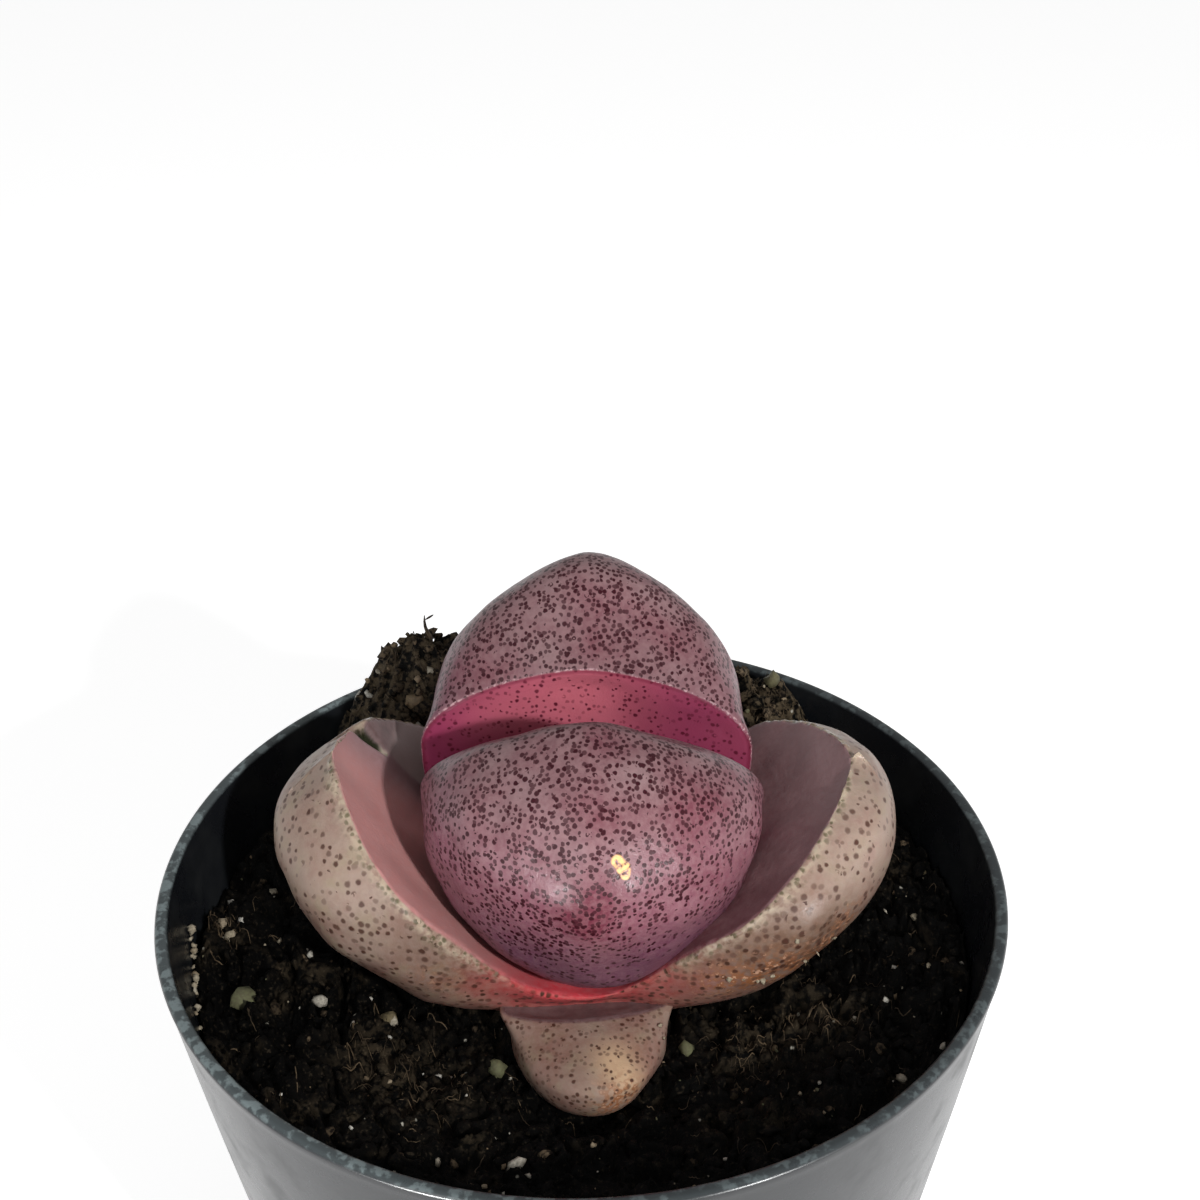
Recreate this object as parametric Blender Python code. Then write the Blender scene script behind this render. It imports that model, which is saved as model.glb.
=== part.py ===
"""Potted split rock: a small succulent of three leaf pairs in a plastic nursery pot.

Metres, +Z up. The origin is the middle of the pot's base, on the surface that it stands on. The
old front leaf points to -Y, and the middle pair of leaves spreads to -X and +X.

Each leaf is a stack of sections, all parallel to its flat inner face. The sections widen from the
inner face to the fattest one and then close to a point at the leaf's back. Leaves that press on
each other are cut clear of one another by cutters that are the same leaves grown by the gap.
"""
import bmesh
import bpy
import numpy as np
from mathutils import Vector

MM = 0.001
GAP = 0.3

# Pot, in millimetres
RIM_RADIUS = 32.0
POT_HEIGHT = 58.0
WALL = 1.0
RIM_SLOPE = 0.141
WALL_CURVE = 0.0004
RIM_ROUNDING = 0.25
FLOOR_RAISE = 1.6
FLOOR_THICKNESS = 1.2
FLOOR_FILLET = 0.8
FOOT_WIDTH = 2.6
FOOT_DRAFT = 0.6
WALL_END = 1.0
POT_STEPS = 64
WALL_STEPS = 5
DRAIN_RADIUS = 2.4
DRAIN_CIRCLE = 11.5
DRAIN_COUNT = 5
DRAIN_SIDES = 12

# Soil, in millimetres; angles are in degrees from +X. The basin rises to the wall between its two
# radii, and more at the back. The heap starts and ends over the given sweeps of angle, climbs from
# its inner radius to its crest and falls by a share of its height to the wall.
SOIL_LEVEL = 46.3
SOIL_SIDE_RISE = 4.2
BASIN_RADII = (12.0, 28.0)
BACK_RISE_PER_MM = 1.0 / 90.0
HEAP_RISE = 7.0
HEAP_PEAK = 5.4
HEAP_START = (51.0, 69.0)
HEAP_END = (124.0, 146.0)
HEAP_PEAK_ANGLE = 120.0
HEAP_PEAK_SPREAD = 13.0
HEAP_INNER_RADIUS = 15.5
HEAP_CREST_RADIUS = 25.5
HEAP_OUTER_FALL = 0.42
HEAP_OUTER_WIDTH = 6.5
LUMPS_END = 1.5
SOIL_SPOKES = 96
SOIL_RINGS = 22
SOIL_RING_POWER = 0.62
SOIL_WALL_RINGS = 2
SOIL_EDGE_PASSES = 4
SOIL_SIDE_TOP = 3.0
SOIL_SEED = 7

# Kinds of lump in the soil: how many, smallest and largest radius, height as a share of the radius
SOIL_LUMPS = ((120, 1.5, 3.4, 0.52), (70, 1.0, 1.5, 0.85))
LUMP_FIELD_RADIUS = 28.0
LUMP_FIELD_START = 0.12

# Stem and taproot: height and radius of each ring, in millimetres, from the tip up
STEM_AXIS = (0.5, 3.4)
ROOT_PROFILE = (
    (20.0, 0.5), (24.0, 0.9), (30.0, 1.6), (36.0, 2.3), (41.0, 3.2), (44.0, 3.9),
    (47.0, 4.3), (49.5, 4.3), (51.5, 3.8), (53.0, 2.8), (53.9, 1.4),
)
ROOT_SIDES = 20
ROOT_TIP_LENGTH = 0.5
STEM_CROWN_HEIGHT = 0.3

# The middle leaves meet on this plane. The blocks that cut them there reach this far.
PAIR_PLANE_X = 0.5
BLOCK_REACH = 60.0
BLOCK_TOP = 100.0

# The base of a bent leaf thins until this multiple of the level angle
THINNING_END = 1.3

# Leaf shapes, in millimetres and degrees.
# centre: middle of the inner face. facing: compass direction that the inner face looks to.
# tilt: how far it looks up. roll: turn of the face in its own plane.
# half_width, to_tip, to_base: size of the inner face. fat_*: the same at the fattest section.
# tip_power, base_power: 2 is an ellipse, less is more pointed, more is squarer.
# depth: thickness of the leaf. fat_at: share of the depth at which it is fattest.
# side_power, end_power: how the back closes, across and along. drift: shift of the back's point.
# hollow: depth of the dish in the inner face.
# level_from: where the base of a middle leaf starts to bend level, measured down from the centre.
# thinning: share of its thickness that it has lost where the bend is level.
LEAVES = {
    "upper_leaf_front": dict(
        centre=(0.94, 0.6, 65.2), facing=88.4, tilt=10.6, roll=1.3,
        half_width=12.85, to_tip=6.5, to_base=14.9, tip_power=1.54, base_power=1.9,
        fat_half_width=12.1, fat_to_tip=9.9, fat_to_base=13.6, fat_at=0.25,
        depth=13.2, side_power=1.62, end_power=2.15, drift=-0.45, hollow=0.8,
    ),
    "upper_leaf_back": dict(
        centre=(0.5, 5.9, 64.95), facing=-92.1, tilt=4.7, roll=-1.1,
        half_width=12.9, to_tip=6.87, to_base=13.6, tip_power=1.45, base_power=3.0,
        fat_half_width=12.2, fat_to_tip=13.35, fat_to_base=13.0, fat_at=0.41,
        depth=14.1, side_power=1.7, end_power=2.3, drift=-0.55, hollow=0.8,
    ),
    "middle_leaf_left": dict(
        centre=(-10.5, 3.25, 59.3), facing=0.0, tilt=44.7, roll=1.3,
        half_width=11.8, to_tip=10.5, to_base=19.4, tip_power=1.6, base_power=4.4,
        fat_half_width=11.5, fat_to_tip=10.8, fat_to_base=19.3, fat_at=0.33, fat_base_power=2.2,
        depth=10.95, side_power=1.95, end_power=2.3, drift=1.95, hollow=0.8,
        level_from=5.3, thinning=0.5,
    ),
    "middle_leaf_right": dict(
        centre=(10.9, 2.87, 59.2), facing=179.2, tilt=52.25, roll=-1.9,
        half_width=12.1, to_tip=11.15, to_base=15.9, tip_power=1.62, base_power=4.55,
        fat_half_width=11.9, fat_to_tip=13.0, fat_to_base=17.0, fat_at=0.26, fat_base_power=2.1,
        depth=11.2, side_power=1.82, end_power=2.03, drift=0.1, hollow=0.8,
        level_from=9.2, thinning=0.45,
    ),
    "old_leaf_front": dict(
        centre=(0.45, -6.3, 50.2), facing=90.0, tilt=80.0, roll=3.8,
        half_width=6.6, to_tip=2.8, to_base=7.5, tip_power=1.8, base_power=3.0,
        fat_half_width=6.15, fat_to_tip=8.5, fat_to_base=7.5, fat_at=0.33,
        depth=7.0, side_power=1.8, end_power=2.2, drift=-0.25, hollow=0.3,
    ),
    "old_leaf_back": dict(
        centre=(0.4, 12.6, 50.4), facing=-90.0, tilt=80.0, roll=-3.0,
        half_width=6.2, to_tip=2.4, to_base=6.8, tip_power=1.8, base_power=3.0,
        fat_half_width=5.6, fat_to_tip=6.2, fat_to_base=6.8, fat_at=0.31,
        depth=6.4, side_power=1.8, end_power=2.05, drift=-0.3, hollow=0.3,
    ),
}
BIG_LEAF_MESH = dict(around=36, rows=10, face_rings=4)
SMALL_LEAF_MESH = dict(around=28, rows=9, face_rings=3)

# Base colour, roughness
COLOURS = {
    "pot": ((0.012, 0.013, 0.015), 0.38),
    "soil": ((0.022, 0.016, 0.012), 0.95),
    "crown_root": ((0.30, 0.20, 0.14), 0.7),
    "upper_leaf_front": ((0.27, 0.13, 0.17), 0.5),
    "upper_leaf_back": ((0.30, 0.16, 0.19), 0.5),
    "middle_leaf_left": ((0.38, 0.25, 0.21), 0.5),
    "middle_leaf_right": ((0.36, 0.24, 0.20), 0.5),
    "old_leaf_front": ((0.36, 0.25, 0.20), 0.55),
    "old_leaf_back": ((0.33, 0.24, 0.19), 0.6),
}


def clear_scene():
    """Remove the objects that a new file starts with."""
    for old in list(bpy.data.objects):
        bpy.data.objects.remove(old, do_unlink=True)


def make_material(name):
    """Principled material with the node's own colour and roughness."""
    colour, roughness = COLOURS[name]
    material = bpy.data.materials.new(name)
    material.use_nodes = True
    shader = material.node_tree.nodes["Principled BSDF"]
    shader.inputs["Base Color"].default_value = (*colour, 1.0)
    shader.inputs["Roughness"].default_value = roughness
    shader.inputs["Metallic"].default_value = 0.0
    return material


def make_object(name, mesh, cutter=False):
    """Link a mesh as an object: a named piece, or a cutter that is only a guide."""
    thing = bpy.data.objects.new(name, mesh)
    bpy.context.collection.objects.link(thing)
    if cutter:
        thing.hide_render = True
        thing.display_type = "WIRE"
    else:
        mesh.materials.append(make_material(name))
        mesh.shade_smooth()
        mesh.set_sharp_from_angle(angle=np.radians(40))
    return thing


def mesh_of_rings(name, rings, first_point=None, last_point=None):
    """Closed mesh through rings of equal length, shut by a fan to a point or by a flat face.

    Each ring is an array of points in millimetres. Quads join neighbouring rings.
    """
    shape = bmesh.new()
    loops = [[shape.verts.new(Vector(point) * MM) for point in ring] for ring in rings]
    count = len(loops[0])
    for lower, upper in zip(loops, loops[1:]):
        for i in range(count):
            j = (i + 1) % count
            shape.faces.new((lower[i], lower[j], upper[j], upper[i]))
    for loop, point in ((loops[0], first_point), (loops[-1], last_point)):
        if point is None:
            shape.faces.new(loop)
            continue
        pole = shape.verts.new(Vector(point) * MM)
        for i in range(count):
            shape.faces.new((loop[i], loop[(i + 1) % count], pole))
    bmesh.ops.triangulate(shape, faces=shape.faces[:])
    bmesh.ops.recalc_face_normals(shape, faces=shape.faces[:])
    mesh = bpy.data.meshes.new(name)
    shape.to_mesh(mesh)
    shape.free()
    return mesh


def cut(target, cutter):
    """Subtract a cutter from a piece with a Boolean modifier."""
    modifier = target.modifiers.new("clear_of_" + cutter.name, "BOOLEAN")
    modifier.operation = "DIFFERENCE"
    modifier.solver = "EXACT"
    modifier.object = cutter


def outer_radius(height):
    """Pot's outer radius: the taper grows a little with the depth below the rim."""
    below = POT_HEIGHT - height
    return RIM_RADIUS - RIM_SLOPE * below - WALL_CURVE * below * below


def inner_radius(height):
    return outer_radius(height) - WALL


def pot_profile():
    """Closed outline of the wall and floor, from the rim down the outside and back up inside."""
    wall_top = POT_HEIGHT - WALL_END
    outside = [(outer_radius(z), z) for z in np.linspace(wall_top, WALL_END, WALL_STEPS)]
    foot_outer = outer_radius(0.0) - RIM_ROUNDING
    foot_inner = foot_outer - FOOT_WIDTH
    floor_top = FLOOR_RAISE + FLOOR_THICKNESS
    inside = [(inner_radius(z), z) for z in np.linspace(floor_top + WALL_END, wall_top, WALL_STEPS)]
    return (
        [(RIM_RADIUS - RIM_ROUNDING, POT_HEIGHT), (RIM_RADIUS, POT_HEIGHT - RIM_ROUNDING)]
        + outside
        + [(foot_outer, 0.0), (foot_inner, 0.0), (foot_inner - FOOT_DRAFT, FLOOR_RAISE)]
        + [(DRAIN_RADIUS, FLOOR_RAISE), (DRAIN_RADIUS, floor_top)]
        + [(inner_radius(floor_top) - FLOOR_FILLET, floor_top)]
        + inside
        + [(RIM_RADIUS - WALL + RIM_ROUNDING, POT_HEIGHT)]
    )


def build_pot():
    """Turned wall and floor with a hole in the middle, and a ring of drainage holes."""
    outline = bpy.data.meshes.new("pot")
    points = [(x * MM, 0.0, z * MM) for x, z in pot_profile()]
    edges = [(i, (i + 1) % len(points)) for i in range(len(points))]
    outline.from_pydata(points, edges, [])
    pot = make_object("pot", outline)
    screw = pot.modifiers.new("turn", "SCREW")
    screw.axis = "Z"
    screw.steps = POT_STEPS
    screw.render_steps = POT_STEPS
    screw.use_merge_vertices = True
    screw.merge_threshold = 0.00001
    for index in range(DRAIN_COUNT):
        angle = 2.0 * np.pi * index / DRAIN_COUNT
        centre = DRAIN_CIRCLE * np.array((np.cos(angle), np.sin(angle)))
        turn = 2.0 * np.pi * np.arange(DRAIN_SIDES) / DRAIN_SIDES
        ring = np.column_stack((centre[0] + DRAIN_RADIUS * np.cos(turn),
                                centre[1] + DRAIN_RADIUS * np.sin(turn)))
        ends = (-FLOOR_THICKNESS, FLOOR_RAISE + 2.0 * FLOOR_THICKNESS)
        rings = [np.column_stack((ring, np.full(DRAIN_SIDES, z))) for z in ends]
        cut(pot, make_object(f"drain_cutter_{index}", mesh_of_rings("drain", rings), cutter=True))
    return pot


def smooth_step(value, low, high):
    """0 below low, 1 above high, and an S curve between."""
    t = np.clip((value - low) / (high - low), 0.0, 1.0)
    return t * t * (3.0 - 2.0 * t)


def soil_lumps(x, y):
    """Relief of clods and grains: round bumps at seeded places, the highest one at each point."""
    random = np.random.default_rng(SOIL_SEED)
    relief = np.zeros_like(x)
    for count, small, large, steepness in SOIL_LUMPS:
        for _ in range(count):
            radius = random.uniform(small, large)
            reach = LUMP_FIELD_RADIUS * np.sqrt(random.uniform(LUMP_FIELD_START, 1.0))
            angle = random.uniform(0.0, 2.0 * np.pi)
            away = np.hypot(x - reach * np.cos(angle), y - reach * np.sin(angle)) / radius
            bump = radius * steepness * np.sqrt(np.clip(1.0 - away ** 2, 0.0, 1.0))
            relief = np.maximum(relief, bump)
    return relief


def soil_height(x, y):
    """Top of the soil: a basin that rises to the sides, a heap along the back, and the lumps."""
    radius = np.hypot(x, y)
    angle = np.degrees(np.arctan2(y, x))
    basin = SOIL_LEVEL + SOIL_SIDE_RISE * smooth_step(radius, *BASIN_RADII) * (1.0 + y * BACK_RISE_PER_MM)
    along = smooth_step(angle, *HEAP_START) * (1.0 - smooth_step(angle, *HEAP_END))
    peak = np.exp(-(((angle - HEAP_PEAK_ANGLE) / HEAP_PEAK_SPREAD) ** 2))
    across = smooth_step(radius, HEAP_INNER_RADIUS, HEAP_CREST_RADIUS)
    fall = smooth_step(radius, HEAP_CREST_RADIUS, HEAP_CREST_RADIUS + HEAP_OUTER_WIDTH)
    heap = (HEAP_RISE * along + HEAP_PEAK * peak) * across * (1.0 - HEAP_OUTER_FALL * fall)
    lumps_end = RIM_RADIUS - LUMPS_END
    away_from_wall = 1.0 - smooth_step(radius, lumps_end - LUMPS_END, lumps_end)
    return basin + heap + soil_lumps(x, y) * away_from_wall


def build_soil():
    """Soil body: the relief on top, the pot's inner form at the side, a flat underside."""
    turn = 2.0 * np.pi * np.arange(SOIL_SPOKES) / SOIL_SPOKES
    across = np.array((np.cos(turn), np.sin(turn)))
    edge = np.full(SOIL_SPOKES, inner_radius(SOIL_LEVEL) - GAP)
    for _ in range(SOIL_EDGE_PASSES):
        height = soil_height(*(edge * across))
        edge = inner_radius(np.minimum(height, POT_HEIGHT)) - GAP
    shares = np.linspace(0.0, 1.0, SOIL_RINGS + 1)[1:] ** SOIL_RING_POWER
    top = []
    for share in shares[::-1]:
        x, y = edge * share * across
        top.append(np.column_stack((x, y, soil_height(x, y))))
    floor = FLOOR_RAISE + FLOOR_THICKNESS + GAP
    side = []
    for share in np.linspace(0.0, 1.0, SOIL_WALL_RINGS + 1)[:-1]:
        z = floor + WALL_END + share * (SOIL_LEVEL - SOIL_SIDE_TOP - floor)
        ring = (inner_radius(z) - GAP) * across
        side.append(np.column_stack((*ring, np.full(SOIL_SPOKES, z))))
    bottom_ring = (inner_radius(floor) - GAP - FLOOR_FILLET) * across
    bottom = np.column_stack((*bottom_ring, np.full(SOIL_SPOKES, floor)))
    middle = (0.0, 0.0, float(soil_height(np.zeros(1), np.zeros(1))[0]))
    mesh = mesh_of_rings("soil", [bottom] + side + top, last_point=middle)
    return make_object("soil", mesh)


def stem_mesh(name, grow):
    """Turned stem and root, with every ring's radius grown by the given amount."""
    turn = 2.0 * np.pi * np.arange(ROOT_SIDES) / ROOT_SIDES
    rings = []
    for height, radius in ROOT_PROFILE:
        wide = radius + grow
        rings.append(np.column_stack((STEM_AXIS[0] + wide * np.cos(turn),
                                      STEM_AXIS[1] + wide * np.sin(turn),
                                      np.full(ROOT_SIDES, height))))
    low = (*STEM_AXIS, ROOT_PROFILE[0][0] - ROOT_TIP_LENGTH - grow)
    high = (*STEM_AXIS, ROOT_PROFILE[-1][0] + STEM_CROWN_HEIGHT + grow)
    return mesh_of_rings(name, rings, low, high)


def leaf_axes(leaf):
    """Unit vectors of a leaf: across the inner face, towards its tip, and out of the face."""
    facing, tilt, roll = np.radians((leaf["facing"], leaf["tilt"], leaf["roll"]))
    out = np.array((np.cos(tilt) * np.cos(facing), np.cos(tilt) * np.sin(facing), np.sin(tilt)))
    across = np.array((-np.sin(facing), np.cos(facing), 0.0))
    to_tip = np.cross(out, across)
    if to_tip[2] < 0.0:
        to_tip = -to_tip
    across = np.cross(to_tip, out)
    turned_across = np.cos(roll) * across + np.sin(roll) * to_tip
    turned_to_tip = np.cos(roll) * to_tip - np.sin(roll) * across
    return turned_across, turned_to_tip, out


def leaf_section(leaf, turn, share, grow):
    """Outline of the section at a share of the leaf's depth, as across, along and depth values.

    Across is w * cos(turn). Along is p * sqrt(1 - |cos(turn)| ** power) on the tip side and the
    same with q, downwards, on the base side. w, p, q and the base's power change to those of the
    fattest section on a sine curve. From there to the back's point w, p and q shut as
    (1 - t ** k) ** (1 / k).
    """
    widen = np.sin(0.5 * np.pi * min(share / leaf["fat_at"], 1.0))
    closing = max((share - leaf["fat_at"]) / (1.0 - leaf["fat_at"]), 0.0)
    side_shut = (1.0 - closing ** leaf["side_power"]) ** (1.0 / leaf["side_power"])
    end_shut = (1.0 - closing ** leaf["end_power"]) ** (1.0 / leaf["end_power"])
    sizes = []
    for plain, shut in (("half_width", side_shut), ("to_tip", end_shut), ("to_base", end_shut)):
        first = leaf[plain]
        sizes.append((first + (leaf["fat_" + plain] - first) * widen + grow) * shut)
    base_power = leaf["base_power"]
    base_power += (leaf.get("fat_base_power", base_power) - base_power) * widen
    cosine = np.abs(np.cos(turn))
    tip_side = sizes[1] * np.sqrt(1.0 - cosine ** leaf["tip_power"])
    base_side = -sizes[2] * np.sqrt(1.0 - cosine ** base_power)
    along = np.where(np.sin(turn) >= 0.0, tip_side, base_side) + leaf["drift"] * share
    depth = np.full_like(turn, grow - (leaf["depth"] + 2.0 * grow) * share)
    return np.column_stack((sizes[0] * np.cos(turn), along, depth))


def bend_base(leaf, ring, share):
    """Bend the part of a ring past level_from on a circle that is level at the pair's plane.

    The circle's curvature is sin(fall) / reach. Fall is the leaf's slope, 90 degrees less its
    tilt, and reach the level distance that is left to the plane. The thickness shrinks along the
    bend and stays square to it.
    """
    if "level_from" not in leaf:
        return ring
    tilt = np.radians(leaf["tilt"])
    fall = 0.5 * np.pi - tilt
    reach = abs(leaf["centre"][0] - PAIR_PLANE_X) - np.sin(tilt) * leaf["level_from"]
    curvature = np.sin(fall) / reach
    past = np.clip(-ring[:, 1] - leaf["level_from"], 0.0, None)
    angle = curvature * past
    thinned = leaf["thinning"] * leaf["depth"] * share * np.minimum(angle / fall, THINNING_END)
    depth = ring[:, 2] + thinned
    along = ring[:, 1] + past - np.sin(angle) / curvature + depth * np.sin(angle)
    out = (1.0 - np.cos(angle)) / curvature + depth * np.cos(angle)
    return np.column_stack((ring[:, 0], along, out))


def leaf_mesh(name, leaf, grow, around, rows, face_rings):
    """Closed leaf: rings of the dished inner face, then the sections down to the back's point."""
    axes = np.array(leaf_axes(leaf))
    centre = np.array(leaf["centre"])
    turn = 2.0 * np.pi * np.arange(around) / around
    outline = leaf_section(leaf, turn, 0.0, grow)
    rings = []
    for size in np.arange(1, face_rings) / face_rings:
        ring = outline * (size, size, 1.0)
        ring[:, 2] -= leaf["hollow"] * (1.0 - size * size)
        rings.append(bend_base(leaf, ring, 0.0))
    rings.append(bend_base(leaf, outline, 0.0))
    for step in np.linspace(0.0, 0.5 * np.pi, rows)[1:-1]:
        share = np.sin(step)
        rings.append(bend_base(leaf, leaf_section(leaf, turn, share, grow), share))
    face_middle = np.array((0.0, 0.0, grow - leaf["hollow"]))
    back_point = np.array((0.0, leaf["drift"], -leaf["depth"] - grow))
    placed = [centre + ring @ axes for ring in rings]
    return mesh_of_rings(name, placed, centre + face_middle @ axes, centre + back_point @ axes)


def leaf_detail(name):
    return SMALL_LEAF_MESH if name.startswith("old") else BIG_LEAF_MESH


def build_leaf(name):
    return make_object(name, leaf_mesh(name, LEAVES[name], 0.0, **leaf_detail(name)))


def build_leaf_cutter(name):
    mesh = leaf_mesh(name, LEAVES[name], GAP, **leaf_detail(name))
    return make_object(name + "_cutter", mesh, cutter=True)


def build_half_space(name, side):
    """Block that takes away everything past the middle pair's meeting plane, less half the gap."""
    near = PAIR_PLANE_X - side * 0.5 * GAP
    far = near + side * BLOCK_REACH
    square = np.array(((-1.0, 0.0), (1.0, 0.0), (1.0, 1.0), (-1.0, 1.0))) * (BLOCK_REACH, BLOCK_TOP)
    rings = [np.column_stack((np.full(4, x), square)) for x in (near, far)]
    return make_object(name, mesh_of_rings(name, rings), cutter=True)


def build():
    clear_scene()
    build_pot()
    soil = build_soil()
    make_object("crown_root", stem_mesh("crown_root", 0.0))
    stem_cutter = make_object("stem_cutter", stem_mesh("stem_cutter", GAP), cutter=True)
    leaves = {name: build_leaf(name) for name in LEAVES}
    cutters = {name: build_leaf_cutter(name) for name in LEAVES}
    past_plane = {
        "middle_leaf_left": build_half_space("right_half_cutter", 1.0),
        "middle_leaf_right": build_half_space("left_half_cutter", -1.0),
    }
    upper = [name for name in LEAVES if name.startswith("upper")]
    middle = [name for name in LEAVES if name.startswith("middle")]
    old = [name for name in LEAVES if name.startswith("old")]
    for name in upper + middle + old:
        cut(leaves[name], stem_cutter)
    for name in middle:
        cut(leaves[name], past_plane[name])
        for other in upper + old:
            cut(leaves[name], cutters[other])
    for other in middle + old:
        cut(soil, cutters[other])
    cut(soil, stem_cutter)


build()
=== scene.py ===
"""Dressed model of a potted split rock, a small succulent of three leaf pairs in a nursery pot.

Metres, +Z up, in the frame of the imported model. Leaf shapes are given in millimetres and degrees.
"""

import bpy
import numpy as np
from mathutils import Matrix, Vector


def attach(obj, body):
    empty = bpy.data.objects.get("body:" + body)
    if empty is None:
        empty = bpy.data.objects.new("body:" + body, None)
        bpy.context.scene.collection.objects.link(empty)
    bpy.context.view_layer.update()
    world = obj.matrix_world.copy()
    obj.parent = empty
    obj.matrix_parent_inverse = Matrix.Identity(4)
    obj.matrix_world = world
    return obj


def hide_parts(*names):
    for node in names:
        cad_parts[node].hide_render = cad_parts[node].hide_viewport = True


MM = 0.001

# Camera: place and directions in metres, lens and sensor in millimetres
CAMERA_PLACE = (0.00176056, -0.10652856, 0.14714837)
CAMERA_RIGHT = (0.99987549, -0.0082296, -0.01346384)
CAMERA_UP = (0.01577978, 0.52146351, 0.85312766)
LENS = 54.0
SENSOR = 36.0

# Pot, in millimetres
RIM_RADIUS = 32.0
POT_HEIGHT = 58.0
WALL = 1.0
RIM_SLOPE = 0.141
WALL_CURVE = 0.0004
RIM_ROUNDING = 0.25
FLOOR_RAISE = 1.6
FLOOR_THICKNESS = 1.2
FLOOR_FILLET = 0.8
FOOT_WIDTH = 2.6
FOOT_DRAFT = 0.6
DRAIN_RADIUS = 2.4
POT_SIDES = 256
OUTER_STEPS = 90
INNER_STEPS = 60
CORNER_STEPS = 6

# Soil, in millimetres; angles are in degrees from +X
GAP = 0.3
SOIL_LEVEL = 46.3
SOIL_SIDE_RISE = 4.2
BASIN_RADII = (12.0, 28.0)
BACK_RISE_PER_MM = 1.0 / 90.0
HEAP_RISE = 7.3
HEAP_PEAK = 5.2
HEAP_START = (40.0, 54.0)
HEAP_END = (124.0, 148.0)
HEAP_PEAK_ANGLE = 121.5
HEAP_PEAK_SPREAD = 9.5
HEAP_INNER_RADIUS = 15.5
HEAP_CREST_RADIUS = 25.5
HEAP_OUTER_FALL = 0.34
HEAP_OUTER_WIDTH = 6.5
LUMPS_END = 1.5
BROWN_HEAP_Y = (13.0, 19.0)
LITTER_LEVEL = SOIL_LEVEL + 4.0
SOIL_COLUMNS = 540
SOIL_TOP_RINGS = 170
SOIL_SIDE_RINGS = 8
SOIL_RING_POWER = 0.62
SOIL_EDGE_PASSES = 4

# Billows of the soil's relief: length of the waves and height in millimetres
SOIL_BILLOWS = ((6.5, 0.75), (3.3, 0.5), (1.7, 0.32), (0.9, 0.2), (0.5, 0.1))

# Hollow in the soil under the front old leaf: x, y, radius and depth
NUB_HOLLOW = (2.0, -13.5, 4.5, 1.5)

# Plane that the two middle leaves share, and the curve that their bases bend on
PAIR_PLANE_X = 0.5
THINNING_END = 1.3

# Leaf shapes, in millimetres and degrees.
# centre: middle of the inner face. facing: compass direction that the inner face looks to.
# tilt: how far it looks up. roll: turn of the face in its own plane.
# half_width, to_tip, to_base: size of the inner face. fat_*: the same at the fattest section.
# tip_power, base_power: 2 is an ellipse, less is more pointed, more is squarer.
# depth: thickness of the leaf. fat_at: share of the depth at which it is fattest.
# side_power, end_power: how the back closes, across and along. drift: shift of the back's point.
# hollow: depth of the dish in the inner face.
# level_from: where the base of a middle leaf starts to bend level, measured down from the centre.
# thinning: share of its thickness that it has lost where the bend is level.
LEAVES = {
    "upper_leaf_front": dict(
        centre=(0.94, 0.6, 65.2), facing=88.4, tilt=10.6, roll=1.3,
        half_width=12.85, to_tip=6.5, to_base=14.9, tip_power=1.54, base_power=1.9,
        fat_half_width=12.45, fat_to_tip=9.9, fat_to_base=13.6, fat_at=0.25,
        depth=13.2, side_power=1.64, end_power=2.15, drift=-0.45, hollow=0.8,
    ),
    "upper_leaf_back": dict(
        centre=(0.5, 5.9, 64.95), facing=-92.1, tilt=4.7, roll=-0.4,
        half_width=12.9, to_tip=6.87, to_base=13.6, tip_power=1.55, base_power=3.0,
        fat_half_width=12.2, fat_to_tip=13.5, fat_to_base=13.0, fat_at=0.41,
        depth=14.1, side_power=1.7, end_power=2.3, drift=-0.55, hollow=0.8,
    ),
    "middle_leaf_left": dict(
        centre=(-10.5, 3.25, 59.3), facing=0.0, tilt=44.7, roll=1.3,
        half_width=11.6, to_tip=11.3, to_base=19.4, tip_power=1.28, base_power=4.4,
        fat_half_width=11.5, fat_to_tip=10.8, fat_to_base=19.3, fat_at=0.33,
        fat_tip_power=2.0, fat_base_power=2.2,
        depth=10.95, side_power=1.95, end_power=2.3, drift=1.5, hollow=0.8,
        level_from=5.3, thinning=0.5,
    ),
    "middle_leaf_right": dict(
        centre=(10.9, 2.87, 59.2), facing=179.2, tilt=52.25, roll=-1.9,
        half_width=11.8, to_tip=11.9, to_base=15.9, tip_power=1.28, base_power=4.55,
        fat_half_width=11.9, fat_to_tip=12.75, fat_to_base=17.0, fat_at=0.26,
        fat_tip_power=2.0, fat_base_power=2.1,
        depth=11.2, side_power=1.82, end_power=2.03, drift=0.1, hollow=0.8,
        level_from=9.2, thinning=0.45,
    ),
    "old_leaf_front": dict(
        centre=(0.3, -6.3, 50.2), facing=90.0, tilt=80.0, roll=5.5,
        half_width=6.8, to_tip=2.1, to_base=7.5, tip_power=1.8, base_power=3.0,
        fat_half_width=6.0, fat_to_tip=8.5, fat_to_base=7.5, fat_at=0.33, fat_tip_power=2.05,
        depth=7.0, side_power=1.75, end_power=2.2, drift=-0.25, hollow=0.3,
    ),
    "old_leaf_back": dict(
        centre=(0.4, 12.6, 50.4), facing=-90.0, tilt=80.0, roll=-3.0,
        half_width=6.2, to_tip=2.4, to_base=6.8, tip_power=1.8, base_power=3.0,
        fat_half_width=5.6, fat_to_tip=6.2, fat_to_base=6.8, fat_at=0.31,
        depth=6.4, side_power=1.8, end_power=2.05, drift=-0.3, hollow=0.3,
    ),
}

# Section that both middle leaves have on the plane that they share: middle, half width, top, depth
SHARED_MIDDLE_Y = 2.8
SHARED_HALF_WIDTH = 10.4
SHARED_TOP_Z = 52.4
SHARED_DEPTH = 6.5

# The shared section holds to the first distance from the plane and has faded out at the second
SHARED_FADE = (0.5, 10.0)

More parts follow.
